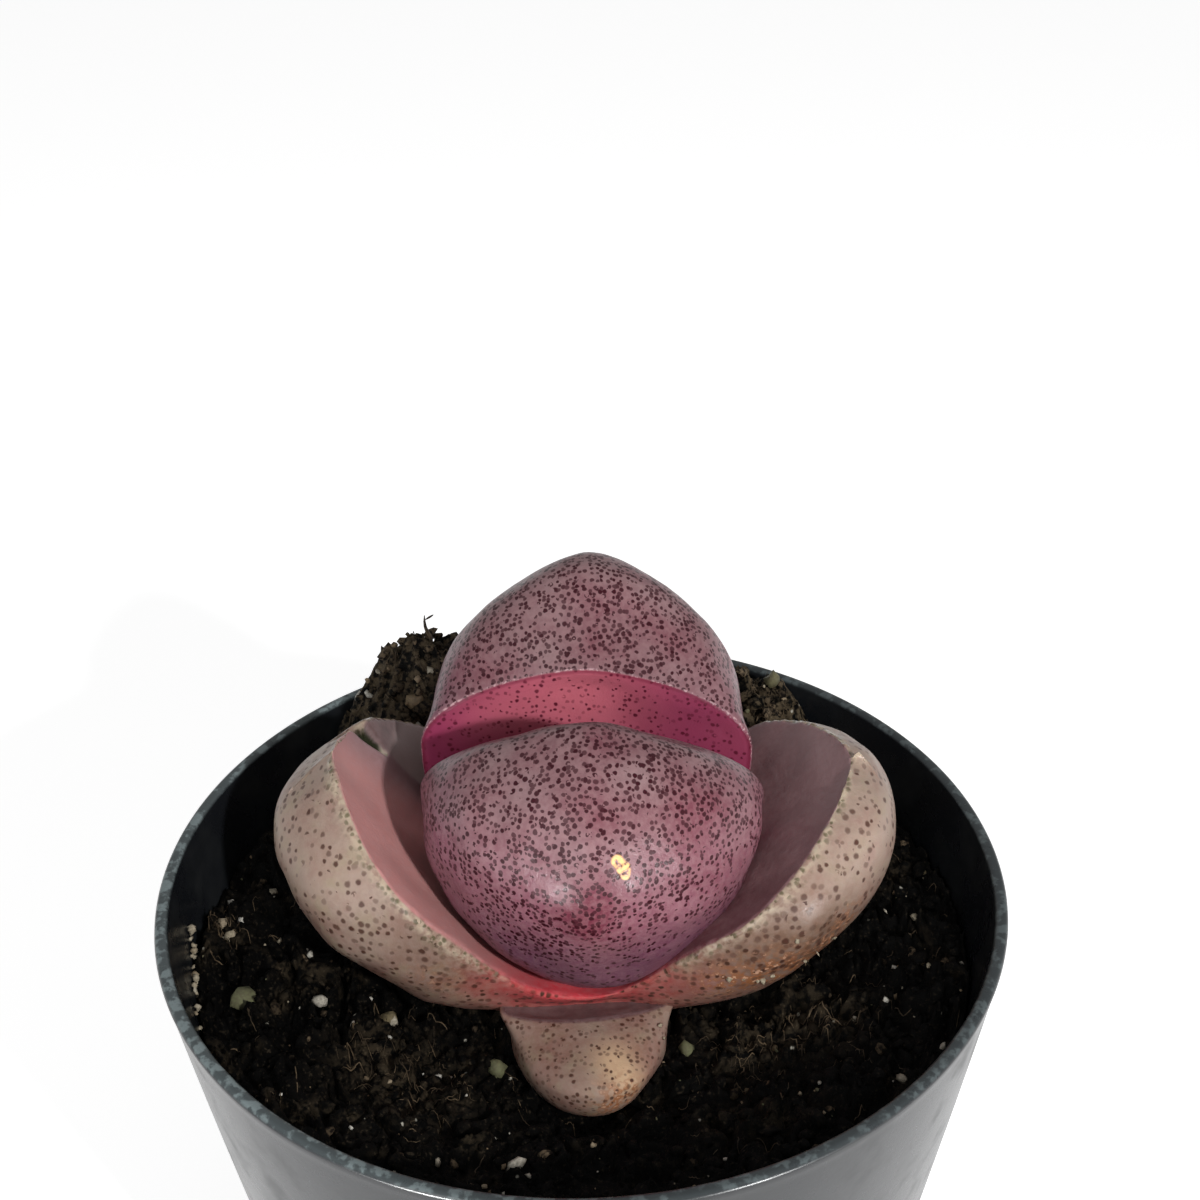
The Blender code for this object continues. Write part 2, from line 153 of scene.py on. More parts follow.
# Past the end of the inner face, its columns keep this share of a section's outline
TIP_STRIP = 0.1

# How far a middle leaf's pointed end is rounded off, as a share of its half width
TIP_SOFTNESS = 0.12

# Meshes: points round a section, rings on the inner face and rings on the skin
BIG_LEAF = dict(around=360, face_rings=50, skin_rings=120)
SMALL_LEAF = dict(around=240, face_rings=30, skin_rings=80)
PAIR_LEAF = dict(stations=165, face_count=56, skin_count=84)

# Fine steps that a middle leaf's outline is worked out in: through its depth, down its skin, on its face
DEPTH_STEPS = 1500
OUTLINE_STEPS = 400
FACE_STEPS = 59

# Rounding, as its reach in millimetres and its passes: edges of the inner faces, tips and seam
FRONT_LEAF_ROUNDING = (0.5, 3)
BACK_LEAF_ROUNDING = (0.4, 2)
OLD_LEAF_ROUNDING = (0.7, 4)
PAIR_EDGE_ROUNDING = (0.45, 4)
PAIR_TIP_ROUNDING = (2.8, 24)
PAIR_SEAM_ROUNDING = (1.5, 40)

# Unevenness of the skins: height and length of the waves in millimetres, and seed
LEAF_UNEVENNESS = ((0.09, 9.0, 11), (0.035, 4.0, 12), (0.006, 1.3, 13))
PAIR_UNEVENNESS = ((0.1, 8.0, 54), (0.03, 3.5, 55))
RIM_CRUMPLE = ((0.05, 0.9, 53),)

# A pigment dot shows where its point lies within this share of a cell from the skin
DOT_DEPTH = 0.32

# How far a dot's outline wavers, in millimetres
DOT_WAVER = 0.18

# Colours, linear
MAUVE = (0.235, 0.09, 0.12)
GREY_MAUVE = (0.22, 0.134, 0.14)
WINE = (0.13, 0.022, 0.04)
# Darker violet low down and on the left side: partly the skin's hue, partly painted shade
SHADED_VIOLET = (0.155, 0.05, 0.095)
DOT_MAROON = (0.034, 0.004, 0.008)
SALMON = (0.5, 0.125, 0.165)
MAGENTA = (0.23, 0.028, 0.08)
# Pale edge of the youngest leaves, with painted glints
PALE_EDGE_AND_GLINTS = (0.52, 0.33, 0.35)
BEIGE = (0.3, 0.215, 0.17)
# Dusky pink of the middle pair near its seam and low down, where part of the darkening is painted shade
DUSKY_PINK = (0.2, 0.08, 0.06)
# The band's own red, with the glow of light through its skin painted in
GLOW_RED = (0.55, 0.045, 0.06)
DOT_BROWN = (0.075, 0.032, 0.022)
# Painted light and shade of the inner faces: a lit pink and a shaded grey copy of one face colour
LIT_FACE_PINK = (0.53, 0.24, 0.225)
SHADED_FACE_GREY = (0.26, 0.155, 0.16)
# Painted shade: the inner faces darken to maroon low down, towards the pair's base
DEEP_SHADE_MAROON = (0.16, 0.055, 0.062)
LEAF_EDGE = (0.42, 0.34, 0.25)
EDGE_GREEN = (0.08, 0.07, 0.032)
CORK = (0.3, 0.115, 0.045)
CORK_CRUMB = (0.6, 0.36, 0.24)
OLD_BROWN = (0.15, 0.085, 0.055)
# Painted light and shade on the lobe behind the split in the left leaf: a lighter grey where it lies in
# shade, and a darker face where the light falls on it and on the old leaves' strip
LOBE_LIGHTENED_GREY = (0.34, 0.25, 0.235)
PAINTED_SHADE_FACE = (0.13, 0.085, 0.083)
WAXY_PINK = (0.42, 0.27, 0.27)
WAXY_BEIGE = (0.45, 0.35, 0.3)
WAXY_FACE = (0.45, 0.33, 0.33)
# Painted highlight: warm core of the glint on the front leaf
GLINT_GOLD = (0.95, 0.52, 0.2)
DOT_WINE = (0.09, 0.008, 0.02)
UNDER_RIM = (0.12, 0.008, 0.025)
DULL_PINK = (0.24, 0.12, 0.1)
DULL_OLIVE = (0.3, 0.25, 0.16)
TAN = (0.55, 0.38, 0.24)
# Near-black peat: its own dark colour, darkened further by painted shade
PEAT_BLACK_AND_SHADE = (0.0022, 0.0021, 0.002)
PEAT_BROWN = (0.085, 0.064, 0.04)
PEAT_BIT = (0.13, 0.1, 0.065)
PEAT_SPECK = (0.4, 0.38, 0.32)
CLOD_DARK = (0.03, 0.022, 0.014)
CLOD_PALE = (0.17, 0.125, 0.08)
CLOD_STREAK = (0.008, 0.006, 0.005)
GRAIN_WHITE = (0.62, 0.6, 0.54)
GRAIN_CREAM = (0.42, 0.36, 0.26)
GRAIN_TAN = (0.28, 0.19, 0.11)
GRAIN_GREEN = (0.14, 0.145, 0.075)
GRAIN_DIRT = (0.09, 0.075, 0.05)
FIBRE_DARK = (0.03, 0.021, 0.013)
FIBRE_PALE = (0.14, 0.1, 0.06)
POT_BLACK = (0.008, 0.009, 0.011)
POT_DUST = (0.05, 0.052, 0.05)
# Pale rim: wear, painted lighter on the left where the light falls
POT_WEAR_AND_LIGHT = (0.18, 0.22, 0.225)
STEM_DARK = (0.12, 0.07, 0.04)
STEM_PALE = (0.32, 0.21, 0.14)
FLOOR_WHITE = (0.85, 0.85, 0.85)

# Pigment dots: spacing in millimetres, radius as a share of it, share of dots kept, and softness
UPPER_DOTS = {"Cell": 0.37, "Radius": 0.44, "Softness": 0.2}
INNER_DOTS = {"Cell": 0.48, "Radius": 0.28, "Density": 0.8, "Softness": 0.35}
GREEN_DOTS = {"Cell": 0.55, "Radius": 0.33, "Density": 0.75, "Softness": 0.5}
PAIR_DOT_CELL = 0.68
OLD_DOT_CELL = 0.46
LOWER_DOT_RADIUS = 0.29

# Soft spots of colour: x, y, z and radius in millimetres, and strength
WINE_SPOTS = (
    (0.75, -12.4, 65.0, 2.6, 0.9), (0.9, -12.2, 63.6, 2.4, 0.5), (8.5, -7.5, 69.2, 3.4, 0.75),
    (-8.3, 7.6, 70.4, 4.0, 0.35), (1.5, -6.0, 73.0, 2.6, 0.5), (-0.5, -9.3, 71.0, 3.0, 0.3),
    (1.0, 8.3, 74.3, 2.2, 0.35), (1.0, 9.7, 76.1, 1.8, 0.3), (0.9, 7.2, 72.8, 1.6, 0.3),
    (5.5, 9.1, 74.2, 2.8, 0.4), (8.6, 9.0, 72.7, 2.6, 0.35),
)
DOT_SPOTS = (
    (0.75, -12.4, 65.0, 2.6, 0.5), (7.8, -7.9, 69.7, 3.5, 0.4), (2.8, -12.0, 66.5, 1.4, -0.8),
    (-2.0, -11.6, 66.8, 1.8, -0.5), (10.0, -6.0, 64.0, 4.0, -0.5), (6.0, -9.0, 60.0, 4.0, -0.5),
    (-9.0, -6.0, 62.0, 4.0, -0.4),
)
# Painted warm highlight on the front leaf's chin, as soft spots
WARM_GLINT_SPOTS = ((2.6, -11.5, 68.35, 0.42, 1.3), (3.1, -11.7, 67.75, 0.5, 1.3), (3.2, -11.8, 67.2, 0.3, 1.0))
# Salmon centre of the back leaf's inner face: its own colour, brightened by a painted glow of light
INNER_GLOW = ((0.0, 6.4, 69.2, 6.0, 1.0), (-6.5, 6.4, 67.8, 3.5, 0.35), (12.5, 5.6, 66.0, 3.5, 0.2))
# Painted glow of light through the skin at the band where the middle leaves meet, over its own red
BAND_GLOW = (
    (-1.5, -6.8, 52.2, 3.8, 0.95), (3.5, -6.9, 52.0, 3.2, 0.45), (6.1, -8.0, 54.2, 1.6, 0.25),
    (-6.5, -7.6, 53.4, 2.5, 0.35), (8.5, -7.8, 53.6, 2.5, 0.15),
)
BROWN_DOT_SPOTS = (
    (-18.9, 1.7, 66.0, 3.5, 0.6), (-13.0, -8.1, 59.9, 5.0, 0.4), (-19.1, -2.3, 62.5, 3.0, -0.3),
    (13.0, -8.5, 57.0, 5.5, 0.6), (20.1, 4.4, 65.8, 2.5, 0.4), (-9.0, -8.5, 55.5, 4.0, 0.3),
)
PAIR_CORK = (
    (17.6, -6.6, 55.0, 2.6, 1.0), (14.0, -8.4, 54.6, 2.6, 1.0), (10.5, -8.4, 54.0, 2.2, 0.7),
    (19.6, -6.0, 58.0, 1.6, 0.6), (-10.5, -8.4, 54.6, 2.0, 0.3),
)
PAIR_BROWN = (
    (15.7, -8.7, 58.0, 4.0, 0.7), (11.5, -8.9, 56.0, 3.5, 0.5), (18.5, -6.8, 57.0, 3.0, 0.5),
    (-11.0, -8.5, 56.5, 3.5, 0.3),
)
TAN_SPOTS = ((2.3, -12.2, 50.3, 1.7, 0.9), (3.0, -13.6, 49.5, 1.4, 0.7))
NUB_CORK = ((2.3, -14.6, 48.2, 1.7, 1.0), (3.6, -14.2, 48.8, 1.0, 0.6))

# Stretches, in millimetres, over which the marks of the youngest leaves fade in
KEEL_X = 1.3
KEEL_WIDTH = 3.2
KEEL_Z = (62.0, 70.0)
GREY_Z = (63.0, 73.0)
# Heights and sides over which the youngest leaves darken to violet, partly painted shade
VIOLET_Z = (56.0, 63.0)
VIOLET_SIDE = (7.0, 12.0)
MORE_DOTS_Z = (56.0, 62.0)

# The same on the middle pair: distances from its plane, to the left and to the back, and heights
WARM_SPREAD = (1.0, 15.0)
# Heights below which the middle pair turns darker and redder, partly painted shade, and more dotted
WARM_Z = (52.0, 62.0)
RIM_SPREAD = (4.0, 10.0)
LEFT_SIDE = (2.0, 8.0)
# Behind this stretch the painted shadow of the youngest pair covers the left leaf's inner face
SHADOW_Y = (3.0, 7.5)
# Reach of the lobe's painted light and painted shade
LOBE_Y = (7.5, 8.1)
PAINTED_SHADE_Y = (7.6, 8.0)
PAINTED_SHADE_Z = (62.8, 63.8)
# Heights over which painted shade darkens the inner faces towards their base
DEEP_SHADE_Z = (56.0, 65.0)

# Split in the left leaf's rim: start and end, half width, how its bottom is moved at the rim, and
# the distances before and behind it over which it fades out
SPLIT_START = (-18.1, 8.1, 67.1)
SPLIT_END = (-15.2, 7.6, 63.75)
SPLIT_WIDTH = 0.72
SPLIT_MOVE = (0.25, 0.0, -2.1)
SPLIT_FADE = (1.3, 3.2)
SPLIT_GREEN = (0.018, 0.02, 0.008)
SPLIT_SCAR = (0.36, 0.3, 0.24)

# Loose matter on the soil: how many, smallest and largest radius in millimetres, squash, lift
CRUMB_KINDS = {
    "peat_crumbs": dict(count=2600, small=0.12, large=0.8, squash=0.5, lift=0.1, seed=61),
    "brown_clods": dict(count=150, small=0.15, large=0.7, squash=0.45, lift=0.15, seed=62),
    "pale_grains": dict(count=260, small=0.07, large=0.3, squash=0.6, lift=0.5, seed=63),
    "heap_clods": dict(count=420, small=0.25, large=1.15, squash=0.4, lift=0.3, seed=68,
                       sector=(50.0, 150.0), inner=0.55),
    "heap_grains": dict(count=70, small=0.12, large=0.5, squash=0.5, lift=0.6, seed=69,
                        sector=(100.0, 150.0), inner=0.6),
}

# Grains that stand out: x, y and radius in millimetres, and tone from white over tan to green
MARKED_GRAINS = (
    (-27.3, 2.9, 0.5, 0.05), (-28.3, 4.5, 0.42, 0.1), (-25.6, -6.1, 1.25, 0.97), (-28.4, 1.6, 0.7, 0.55),
    (-27.8, 0.9, 0.5, 0.5), (-20.2, -4.7, 0.6, 0.2), (-21.5, -0.1, 0.35, 0.15), (-24.0, 1.3, 0.35, 0.4),
    (-25.0, 5.6, 0.35, 0.35), (-20.0, -7.5, 0.3, 0.25), (-10.9, -10.1, 0.34, 0.0), (-8.8, -10.1, 0.36, 0.0),
    (-8.9, -10.8, 0.34, 0.8), (-6.5, -10.1, 0.9, 0.97), (-15.0, -4.9, 0.7, 0.85), (-14.6, -5.3, 0.4, 0.3),
    (-4.5, -21.3, 0.75, 0.2), (-11.6, -14.9, 0.25, 0.0), (-17.3, -7.7, 0.25, 0.2), (-14.6, -7.6, 0.2, 0.0),
    (-13.3, -20.3, 0.25, 0.1), (-10.1, -20.3, 0.3, 0.3), (-16.2, -18.5, 0.2, 0.0), (24.1, -3.2, 0.5, 0.05),
    (28.0, -3.6, 0.38, 0.15), (26.2, 1.4, 0.4, 0.4), (28.6, -0.6, 0.3, 0.35), (22.5, -8.2, 0.3, 0.1),
    (22.7, -15.1, 0.38, 0.3), (26.1, -12.2, 0.38, 0.2), (9.4, -3.9, 0.3, 0.2), (10.7, -16.7, 0.18, 0.0),
    (7.8, -7.8, 0.8, 0.95), (-19.2, 22.0, 0.52, 0.02), (-18.2, 21.2, 0.46, 0.1), (-12.6, 20.4, 0.5, 0.3),
    (-14.1, 18.9, 0.85, 0.8), (-13.9, 17.9, 0.6, 0.2), (16.5, 23.0, 0.8, 0.9), (17.5, 22.3, 0.5, 0.6),
)

# Dry flakes on the middle and old leaves: x, y, z and radius in millimetres
SKIN_FLAKES = (
    (10.8, -8.75, 54.7, 0.3), (13.3, -8.25, 54.1, 0.34), (14.0, -8.2, 54.45, 0.3), (15.6, -8.8, 58.35, 0.26),
    (12.9, -8.35, 54.1, 0.22), (17.4, -7.2, 55.6, 0.3), (18.6, -6.6, 56.6, 0.26), (11.8, -8.7, 54.6, 0.2),
    (5.75, -8.7, 50.15, 0.22), (6.0, -9.5, 49.65, 0.26), (16.4, -7.7, 55.4, 0.22),
)
FLAKE_TONE = 0.42

# Flakes on the pot's inner wall: compass direction in degrees and height in millimetres
WALL_DEBRIS = ((183.0, 54.6), (183.6, 52.5), (186.1, 51.8), (189.2, 51.2), (192.4, 51.0), (196.8, 50.2))
WALL_DEBRIS_COUNT = 26

# Tufts of fibres: x, y and spread in millimetres
FIBRE_TUFTS = (
    (-12.5, -13.0, 3.2), (-15.0, -9.5, 2.2), (-14.5, 20.0, 2.8), (15.5, -6.0, 2.6), (19.0, -8.0, 2.2),
    (-28.0, 0.5, 1.2), (16.0, 23.0, 2.2), (12.0, -9.0, 2.0),
)
FIBRES_IN_TUFTS = 0.65
FIBRES = dict(count=480, lengths=(0.5, 2.4), radii=(0.02, 0.055), seed=65)
FIBRE_STEPS = 9
FIBRE_SIDES = 5

# Twig on the heap: foot and top, radii of its stem and fork, and sides
TWIG = ((-12.6, 21.9, 63.6), (-12.95, 21.7, 67.6))
TWIG_RADII = (0.16, 0.09)
TWIG_SIDES = 8

# Light: half the floor's side in metres, how much the floor glows, the surround's strength, and
# lamps as name, lit point in millimetres, distance in metres, compass direction and elevation in
# degrees seen from that point, size in metres and power in watts. A glint only shows as a
# highlight, the key and the low fill only as shading.
FLOOR_REACH = 3.0
FLOOR_GLOW = 0.62
SURROUND = 0.36
LIGHTS = (
    ("key", (0.0, 0.0, 60.0), 0.35, -59.0, 31.0, 0.018, 0.95),
    ("front_fill", (0.0, 0.0, 60.0), 0.4, -112.0, 18.0, 0.2, 0.42),
    ("low_fill", (0.0, -11.5, 61.5), 0.25, -90.0, -8.0, 0.06, 0.2),
    ("left_glint", (-1.96, -11.58, 66.77), 0.15, -122.3, -21.0, 0.03, 0.33),
    ("right_glint", (2.83, -11.71, 67.2), 0.2, -53.6, -9.0, 0.03, 0.36),
)


def smooth_step(value, low, high):
    """0 below low, 1 above high, and an S curve between."""
    t = np.clip((value - low) / (high - low), 0.0, 1.0)
    return t * t * (3.0 - 2.0 * t)


def waves(points, size, seed, count=28):
    """Soft noise of about unit strength: the scaled sum of sine waves of one length in random directions."""
    random = np.random.default_rng(seed)
    direction = random.normal(size=(points.shape[-1], count))
    direction *= 2.0 * np.pi / (size * np.linalg.norm(direction, axis=0))
    phase = random.uniform(0.0, 2.0 * np.pi, count)
    return np.sin(points @ direction + phase).sum(axis=-1) / np.sqrt(0.5 * count)


def relief(points, kinds):
    """Sum of soft noises, each a height times waves of one length."""
    return sum(height * waves(points, length, seed) for height, length, seed in kinds)


def limited(value):
    """The value, kept between 0 and 1."""
    return np.clip(value, 0.0, 1.0)


def nearest(points, places):
    """Distance of each point from the nearest of some places."""
    return np.min([np.linalg.norm(points - spot, axis=-1) for spot in places], axis=0)


def spots(points, places):
    """Sum of soft round spots: strength * exp(-(distance / radius) ** 2) for each place."""
    total = np.zeros(points.shape[:-1])
    for x, y, z, radius, strength in places:
        away = np.linalg.norm(points - np.array((x, y, z)), axis=-1)
        total += strength * np.exp(-((away / radius) ** 2))
    return total


def link(name, mesh, material, slot, *stands_for):
    """Object of a mesh that rides on the part and stands for CAD nodes. The slot argument is not used."""
    mesh.materials.append(material)
    mesh.shade_smooth()
    piece = bpy.data.objects.new(name, mesh)
    bpy.context.scene.collection.objects.link(piece)
    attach(piece, "root")
    if stands_for:
        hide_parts(*stands_for)
    return piece


def mesh_of_faces(name, points, faces):
    """Mesh in metres of points in millimetres and lists of faces with equal numbers of corners."""
    mesh = bpy.data.meshes.new(name)
    mesh.vertices.add(len(points))
    mesh.vertices.foreach_set("co", (np.asarray(points, dtype=np.float32) * MM).ravel())
    corners = np.concatenate([block.ravel() for block in faces])
    sizes = np.concatenate([np.full(len(block), block.shape[1]) for block in faces])
    mesh.loops.add(len(corners))
    mesh.loops.foreach_set("vertex_index", corners.astype(np.int32))
    mesh.polygons.add(len(sizes))
    mesh.polygons.foreach_set("loop_start", (np.cumsum(sizes) - sizes).astype(np.int32))
    mesh.update(calc_edges=True)
    return mesh


def mesh_of_rings(name, rings, first_point, last_point, marks=None):
    """Closed mesh over rings of points, in millimetres, with a fan of triangles to each end point.

    rings is an array of ring, place in the ring and coordinate. Marks are point attributes: a
    value for each point of the rings, and for the end points the mean of the nearest ring.
    """
    rows, columns = rings.shape[:2]
    here = np.arange(columns)
    after = (here + 1) % columns
    start = columns * np.arange(rows - 1)[:, None]
    quads = np.stack((start + here, start + after, start + columns + after, start + columns + here), -1)
    quads = quads.reshape(-1, 4)
    first = rows * columns
    last_row = columns * (rows - 1)
    first_fan = np.stack((after, here, np.full(columns, first)), -1)
    last_fan = np.stack((last_row + here, last_row + after, np.full(columns, first + 1)), -1)
    points = np.vstack((rings.reshape(-1, 3), first_point, last_point))
    corner = points[quads]
    normal = np.cross(corner[:, 2] - corner[:, 0], corner[:, 3] - corner[:, 1])
    if np.sum(normal * (corner.mean(axis=1) - points.mean(axis=0))) < 0.0:
        quads, first_fan, last_fan = quads[:, ::-1], first_fan[:, ::-1], last_fan[:, ::-1]
    mesh = mesh_of_faces(name, points, (quads, first_fan, last_fan))
    for label, values in (marks or {}).items():
        whole = np.concatenate((values.ravel(), (values[0].mean(), values[-1].mean())))
        layer = mesh.attributes.new(label, "FLOAT", "POINT")
        layer.data.foreach_set("value", whole.astype(np.float32))
    return mesh


def leaf_axes(leaf):
    """Unit vectors of a leaf: across the inner face, towards its tip, and out of the face."""
    facing, tilt, roll = np.radians((leaf["facing"], leaf["tilt"], leaf["roll"]))
    out = np.array((np.cos(tilt) * np.cos(facing), np.cos(tilt) * np.sin(facing), np.sin(tilt)))
    across = np.array((-np.sin(facing), np.cos(facing), 0.0))
    to_tip = np.cross(out, across)
    if to_tip[2] < 0.0:
        to_tip = -to_tip
    across = np.cross(to_tip, out)
    turned_across = np.cos(roll) * across + np.sin(roll) * to_tip
    turned_to_tip = np.cos(roll) * to_tip - np.sin(roll) * across
    return np.array((turned_across, turned_to_tip, out))


def leaf_sizes(leaf, share):
    """Half width, reach to the tip, reach to the base, and both ends' powers at shares of the depth.

    The sizes widen on a sine curve from those of the inner face to those of the fattest section,
    and from there shut as (1 - t ** k) ** (1 / k).
    """
    widen = np.sin(0.5 * np.pi * np.minimum(share / leaf["fat_at"], 1.0))
    closing = np.clip((share - leaf["fat_at"]) / (1.0 - leaf["fat_at"]), 0.0, 1.0)
    side_shut = (1.0 - closing ** leaf["side_power"]) ** (1.0 / leaf["side_power"])
    end_shut = (1.0 - closing ** leaf["end_power"]) ** (1.0 / leaf["end_power"])
    sizes = []
    for plain, shut in (("half_width", side_shut), ("to_tip", end_shut), ("to_base", end_shut)):
        sizes.append((leaf[plain] + (leaf["fat_" + plain] - leaf[plain]) * widen) * shut)
    for plain in ("tip_power", "base_power"):
        power = leaf[plain]
        sizes.append(power + (leaf.get("fat_" + plain, power) - power) * widen)
    return sizes


def round_edge(rings, edge_row, reach, passes):
    """Round a crease between rings: near it, each point moves to the mean of its two neighbours.

    The pull fades with the distance from the crease as exp(-(distance / reach) ** 2).
    """
    for _ in range(passes):
        away = np.linalg.norm(rings - rings[edge_row], axis=-1)[1:-1, :, None]
        middle = 0.5 * (rings[2:] + rings[:-2])
        rings[1:-1] += (middle - rings[1:-1]) * np.exp(-((away / reach) ** 2))
    return rings


def rows_to_edge(rings, edge_row):
    """Signed distance of each point from the edge ring, along its column: negative on the face."""
    step = np.linalg.norm(np.diff(rings, axis=0), axis=-1)
    along = np.vstack((np.zeros(rings.shape[1]), np.cumsum(step, axis=0)))
    return along - along[edge_row]


def leaf_rings(leaf, around, face_rings, skin_rings):
    """Rings of a single leaf: the dished inner face from its middle, then sections to the back's point.

    A section's outline is w * cos(turn) across and p * sqrt(1 - |cos(turn)| ** power) along.
    """
    turn = 2.0 * np.pi * (np.arange(around) + 0.5) / around
    cosine = np.abs(np.cos(turn))
    share = np.sin(np.linspace(0.0, 0.5 * np.pi, skin_rings + 1)[:-1])[:, None]
    width, to_tip, to_base, tip_power, base_power = leaf_sizes(leaf, share)
    tip_side = to_tip * np.sqrt(1.0 - cosine ** tip_power)
    base_side = -to_base * np.sqrt(1.0 - cosine ** base_power)
    along = np.where(np.sin(turn) >= 0.0, tip_side, base_side) + leaf["drift"] * share
    skin = np.stack((width * np.cos(turn), along, -leaf["depth"] * share + 0.0 * turn), -1)
    size = (np.arange(1, face_rings) / face_rings)[:, None]
    face = np.stack((size * skin[0, :, 0], size * skin[0, :, 1],
                     leaf["hollow"] * (size * size - 1.0) + 0.0 * turn), -1)
    return np.concatenate((face, skin)), face_rings - 1


def grid_normals(rings):
    """Outward unit normals of closed rings: the cross product of the steps round and between rings."""
    round_step = np.roll(rings, -1, axis=1) - np.roll(rings, 1, axis=1)
    between_step = np.gradient(rings, axis=0)
    normal = np.cross(round_step, between_step)
    normal /= np.maximum(np.linalg.norm(normal, axis=-1), 1e-9)[..., None]
    outward = rings - rings.mean(axis=(0, 1))
    return normal if np.sum(normal * outward) > 0.0 else -normal


def upper_marks(rings, edge):
    """Where the youngest leaves are greyer, redder and more dotted, where painted shade darkens them to
    violet, and where a glow and a warm highlight are painted.
    """
    x, z = rings[..., 0], rings[..., 2]
    keel = np.exp(-(((x - KEEL_X) / KEEL_WIDTH) ** 2)) * smooth_step(z, *KEEL_Z)
    dots = 0.4 + 0.3 * keel + 0.5 * smooth_step(z, *MORE_DOTS_Z) + spots(rings, DOT_SPOTS)
    return {
        "edge": edge,
        "grey": smooth_step(z + 0.8 * waves(rings, 7.0, 31), *GREY_Z),
        "wine": limited(spots(rings, WINE_SPOTS) + 0.1 * waves(rings, 4.5, 32)),
        "violet": limited(1.0 - smooth_step(z, *VIOLET_Z) + 0.5 * smooth_step(-x, *VIOLET_SIDE)),
        "dotted": limited(dots + 0.12 * waves(rings, 3.0, 33)),
        # Painted glow of light on the inner face's salmon centre
        "glow": limited(spots(rings, INNER_GLOW)),
        # Painted warm highlight
        "warm_glint": limited(spots(rings, WARM_GLINT_SPOTS)),
    }


def old_marks(rings, edge):
    """Where the oldest leaves are corky and tan. A mark that is left out reads as 0."""
    return {
        "edge": edge,
        "warm": 0.45 + 0.2 * waves(rings, 5.0, 41),
        "dotted": limited(0.85 + 0.2 * waves(rings, 3.0, 42)),
        "tan": limited(spots(rings, TAN_SPOTS)),
        "cork": limited(spots(rings, NUB_CORK)),
        # Painted shade over the whole inner face of the old leaves: shaded, darker low down and dimmed
        "shade": np.ones_like(edge),
        "brown": np.full_like(edge, 0.05),
        "painted_shade": np.full_like(edge, 0.75),
        "deep": np.ones_like(edge),
    }


def build_single_leaf(name, material, slot, detail, rounding, marks_of):
    """Closed leaf with its marks as point attributes and a slight unevenness of its skin."""
    leaf = LEAVES[name]
    local, edge_row = leaf_rings(leaf, **detail)
    local = round_edge(local, edge_row, *rounding)
    rings = np.array(leaf["centre"]) + local @ leaf_axes(leaf)
    edge = rows_to_edge(local, edge_row)
    uneven = relief(rings, LEAF_UNEVENNESS) * smooth_step(np.abs(edge), 0.0, 2.0)
    rings = rings + grid_normals(rings) * uneven[..., None]
    ends = (rings[0].mean(axis=0), rings[-1].mean(axis=0))
    mesh = mesh_of_rings(name + "_skin", rings, *ends, marks_of(rings, edge))
    return link(name + "_skin", mesh, material, slot, name)


def width_share(room, power):
    """Share of the full half width: room ** (1 / power), with the pointed end softly rounded off."""
    soft = TIP_SOFTNESS ** power
    full = (1.0 + TIP_SOFTNESS ** 2) ** (0.5 * power) - soft
    square = (np.maximum(room, 0.0) * full + soft) ** (2.0 / power)
    return np.sqrt(np.maximum(square - TIP_SOFTNESS ** 2, 0.0))


def half_outline(leaf, station, face_count, skin_count):
    """Half of a middle leaf's cross-section at a distance along the leaf, from its top to its bottom.

    At each share of the depth the half width is w * width_share(1 - u ** 2, power), with u the
    station as a share of the leaf's reach there. The half outline runs over half the inner face
    and down the skin, and is cut into equal steps on each.
    """
    share = np.linspace(0.0, 1.0, DEPTH_STEPS)
    width, to_tip, to_base, tip_power, base_power = leaf_sizes(leaf, share)
    beyond = station - leaf["drift"] * share
    reach = np.where(beyond > 0.0, to_tip, to_base)
    power = np.where(beyond > 0.0, tip_power, base_power)
    room = 1.0 - (beyond / np.maximum(reach, 1e-6)) ** 2
    inside = np.flatnonzero(room > 0.0)
    low, high = share[inside[0]], share[inside[-1]]
    fine = low + (high - low) * (0.5 - 0.5 * np.cos(np.linspace(0.0, np.pi, OUTLINE_STEPS)))
    half = np.interp(fine, share, np.where(room > 0.0, width * width_share(room, power), 0.0))
    half[-1] = 0.0
    edge = half[0] if inside[0] == 0 else 0.0
    half[0] = edge
    face = np.stack((np.linspace(0.0, edge, FACE_STEPS + 1)[:-1], np.zeros(FACE_STEPS)), -1)
    outline = np.concatenate((face, np.stack((half, -fine * leaf["depth"]), -1)))
    length = np.concatenate(([0.0], np.cumsum(np.linalg.norm(np.diff(outline, axis=0), axis=1))))
    split = max(edge, TIP_STRIP * length[-1])
    wanted = np.concatenate((np.linspace(0.0, split, face_count + 1)[:-1],
                             np.linspace(split, length[-1], skin_count + 1)))
    across = np.interp(wanted, length, outline[:, 0])
    depth = np.interp(wanted, length, outline[:, 1])
    share_here = -depth / leaf["depth"]
    on_face = np.clip(1.0 - across / max(edge, 1e-6), 0.0, 1.0) * (wanted < edge)
    dish = leaf["hollow"] * (1.0 - (1.0 - on_face) ** 2) * np.clip(room[0], 0.0, 1.0) ** 0.7
    return across, depth - dish * (wanted < edge), share_here, wanted - edge


def base_bend(leaf):
    """Slope of a middle leaf, and the level distance that is left to the plane where its bend starts."""
    fall = 0.5 * np.pi - np.radians(leaf["tilt"])
    return fall, abs(leaf["centre"][0] - PAIR_PLANE_X) - np.cos(fall) * leaf["level_from"]


